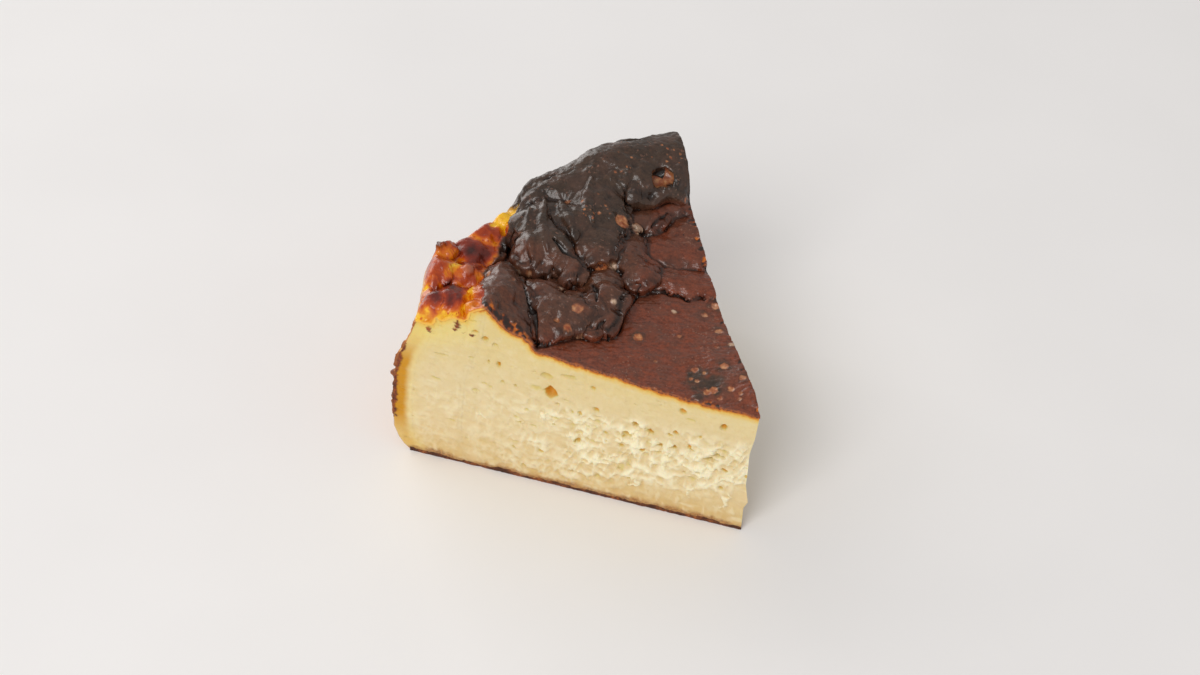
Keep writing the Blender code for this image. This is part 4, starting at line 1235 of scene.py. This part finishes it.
folds = np.random.default_rng(81)
crease = np.zeros(len(side_place))
for start in np.cumsum(folds.uniform(2.2, 8.5, PAPER_CREASES)):
    lean, width, strength = folds.uniform(-0.12, 0.12), folds.uniform(0.25, 0.65), folds.uniform(0.35, 1.0)
    waver = 1.1 * grain(side_place * (0, 1, 0) + (0, 0, 9 * start), 9.0, 82)
    off = side_place[:, 0] - start - lean * side_place[:, 1] - waver
    fading = np.clip(0.5 + 1.2 * grain(side_place + (0, 0, 7 * start), 11.0, 80), 0, 1)
    crease = np.maximum(crease, strength * fading * np.exp(-(off / width) ** 2))
side_relief = on_side(0.32 * crease + 0.16 * grain(side_place * (1, 0.4, 1), 4.2, 89)
                      + layered(side_place, (0.10, 1.3, 83), (0.06, 0.6, 84)))
tuck = ease(side_height, side_top - 0.9, side_top + 0.1)
from_cut = round_wall * (1 + 0.35 * on_side(grain(side_place, 1.8, 85)))
flakes = np.interp(side_height + 1.2 * on_side(grain(side_place, 2.2, 87)), FLAKE_HEIGHTS, FLAKE_REACH)
flakes = flakes + on_side(layered(side_place, (0.35, 1.6, 86), (0.25, 0.8, 88)))
flakes = np.where(flakes > 0, 0.75 * flakes * fall(from_cut, 0.3, 1.8), flakes * fall(from_cut, 1.6, 2.6))
side_reach = rim_reach(side_turn, side_height) + 0.05 + side_relief * (1 - tuck) - 0.15 * tuck + flakes
bare_edge = 0.6 * ease(-flakes, 0.0, 0.4) * fall(round_wall, 0.0, 1.2)


def side_points(reach):
    """Points of the side at a distance from the tip's leaning edge, drawn in where the cut is bare."""
    points = round_tip(reach, side_turn, side_height)
    points[..., 1] += bare_edge
    return points.reshape(-1, 3)


def grid_edge(columns, rows):
    """The boundary of a grid of columns, in turn."""
    low = np.arange(columns) * rows
    first, last = np.arange(rows), (columns - 1) * rows + np.arange(rows)
    return np.concatenate([low, last[1:], low[-2::-1] + rows - 1, first[-2:0:-1]])


outside = side_points(side_reach)
inside = side_points(np.minimum(side_reach, rim_reach(side_turn, side_height) + 0.1) - SIDE_THICKNESS)
rim_line = grid_edge(SIDE_COLUMNS, SIDE_ROWS)
following = np.roll(rim_line, -1)
side_faces = grid_faces(SIDE_COLUMNS, SIDE_ROWS, closed=False)
side_triangles = np.concatenate([
    side_faces, side_faces[:, ::-1] + len(outside),
    two_triangles(rim_line, rim_line + len(outside), following + len(outside), following)])


def side_finish():
    """Golden-brown side skin: darker on the creases and where it is high, paler in the dents."""
    f = Finish("baked_side")
    colour = side_colour(f, f.maths("MULTIPLY_ADD", f.value("crease"), 0.16, f.value("scorch")))
    fine = f.mottle(1.1, 4, 0.6)
    f.bumps((f.mottle(0.6, 4, 0.6), 0.08), (fine, 0.10))
    return f.finish(colour, f.scaled(fine, 0.3, 0.7, 0.46, 0.66), Specular_IOR_Level=0.25, Coat_Weight=0.4,
                    Coat_Roughness=0.38)


scorched_flakes = 0.17 * ease(flakes, 0.0, 0.25) * fall(from_cut, 1.0, 3.0)
scorch = (side_scorch(side_turn, side_height) + scorched_flakes).ravel()
baked_side = piece(
    "baked_side", np.concatenate([outside, inside]), side_triangles, side_finish(),
    crease=np.tile(np.clip(crease, 0, 1.5), 2), scorch=np.tile(scorch, 2))
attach(baked_side, "root")

# ---------------------------------------------------------------------------------------------------------
# The burnt base: the thin dark skin that the custard baked on the tin's floor. Its edge wavers along the
# cuts, and stands a hair proud of them.

BASE_ROWS = 7
low_near, low_side, low_far = near_values[0][:, 0], outer_side[1:-1, 0], far_values[0][:0:-1, 0]
base_line = np.concatenate([low_near[::2], low_side, low_far])
base_line[:, 2] = 0.0
way = np.roll(base_line, -1, axis=0) - np.roll(base_line, 1, axis=0)
out = np.stack([-way[:, 1], way[:, 0], 0 * way[:, 0]], axis=1)
out = out / np.linalg.norm(out, axis=1, keepdims=True)
waver = 0.12 + layered(base_line, (0.20, 2.3, 91), (0.12, 0.7, 92))
top_waver = 0.32 + layered(base_line, (0.75, 6.0, 93), (0.28, 1.7, 94), (0.20, 0.7, 95))
base_rise = np.linspace(0, 1, BASE_ROWS)
base_bulge = np.clip(1 - (1.6 * base_rise - 0.6) ** 4, 0, 1) * 0.95
base_points = base_line[:, None, :] + out[:, None, :] * (waver[:, None] * base_bulge)[..., None]
base_points[..., 2] = -BASE_SKIN + (BASE_SKIN + np.clip(top_waver, -0.25, 1.2))[:, None] * base_rise
base_points = base_points.reshape(-1, 3)
base_low = np.arange(len(base_line)) * BASE_ROWS
base_triangles = np.concatenate([
    grid_faces(len(base_line), BASE_ROWS), cap(base_low, len(base_points), False),
    cap(base_low + BASE_ROWS - 1, len(base_points) + 1, True)])
base_points = np.concatenate([base_points, [(*MIDDLE, -BASE_SKIN), (*MIDDLE, 0.1)]])


def base_finish():
    """Burnt base skin: near black with brown patches."""
    f = Finish("burnt_base")
    colour = f.stops(f.mottle(2.2, 4, 0.65), (0.3, srgb(56, 30, 17)), (0.5, srgb(88, 46, 24)),
                     (0.62, srgb(136, 76, 36)), (0.75, srgb(182, 116, 56)))
    f.bumps((f.mottle(0.5, 3), 0.08))
    return f.finish(colour, 0.6, Specular_IOR_Level=0.35)


burnt_base = piece("burnt_base", base_points, base_triangles, base_finish())
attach(burnt_base, "root")

# ---------------------------------------------------------------------------------------------------------
# The studio: a plain pale floor and large soft lights, the brightest above and left of the slice.

FLOOR = 3.0                         # metres from its middle to its sides
floor_mesh = bpy.data.meshes.new("floor")
floor_mesh.from_pydata([(FLOOR * x, FLOOR * y, 0) for x, y in ((-1, -1), (1, -1), (1, 1), (-1, 1))], [],
                       [(0, 1, 2, 3)])
floor = bpy.data.objects.new("floor", floor_mesh)
bpy.context.scene.collection.objects.link(floor)
floor_look = Finish("pale_floor")
floor_mesh.materials.append(floor_look.finish(
    floor_look.blend(floor_look.scaled(floor_look.mottle(60, 2), 0.3, 0.7), srgb(244, 242, 242),
                     srgb(246, 244, 244)), 0.7, Specular_IOR_Level=0.2))


def soft_light(name, place, target, width, watts, colour):
    """A square area light at a place in metres, turned toward a target."""
    lamp = bpy.data.lights.new(name, "AREA")
    lamp.size, lamp.energy, lamp.color = width, watts, colour
    thing = bpy.data.objects.new(name, lamp)
    thing.location = place
    way = np.asarray(target) - np.asarray(place)
    pitch = np.arctan2(np.hypot(way[0], way[1]), -way[2])
    thing.rotation_euler = (pitch, 0, np.arctan2(-way[0], way[1]))
    bpy.context.scene.collection.objects.link(thing)


soft_light("key", (-0.97, 0.60, 0.38), (0, 0, 0.03), 0.95, 6.2, (1.0, 0.99, 0.97))
soft_light("front", (-0.15, -1.15, 1.00), (0, 0, 0.02), 0.8, 11.2, (1.0, 0.985, 0.965))
world = bpy.data.worlds.new("studio")
world.use_nodes = True
world.node_tree.nodes["Background"].inputs["Color"].default_value = (1.0, 0.99, 0.97, 1)
world.node_tree.nodes["Background"].inputs["Strength"].default_value = 0.48
bpy.context.scene.world = world

bpy.context.view_layer.update()
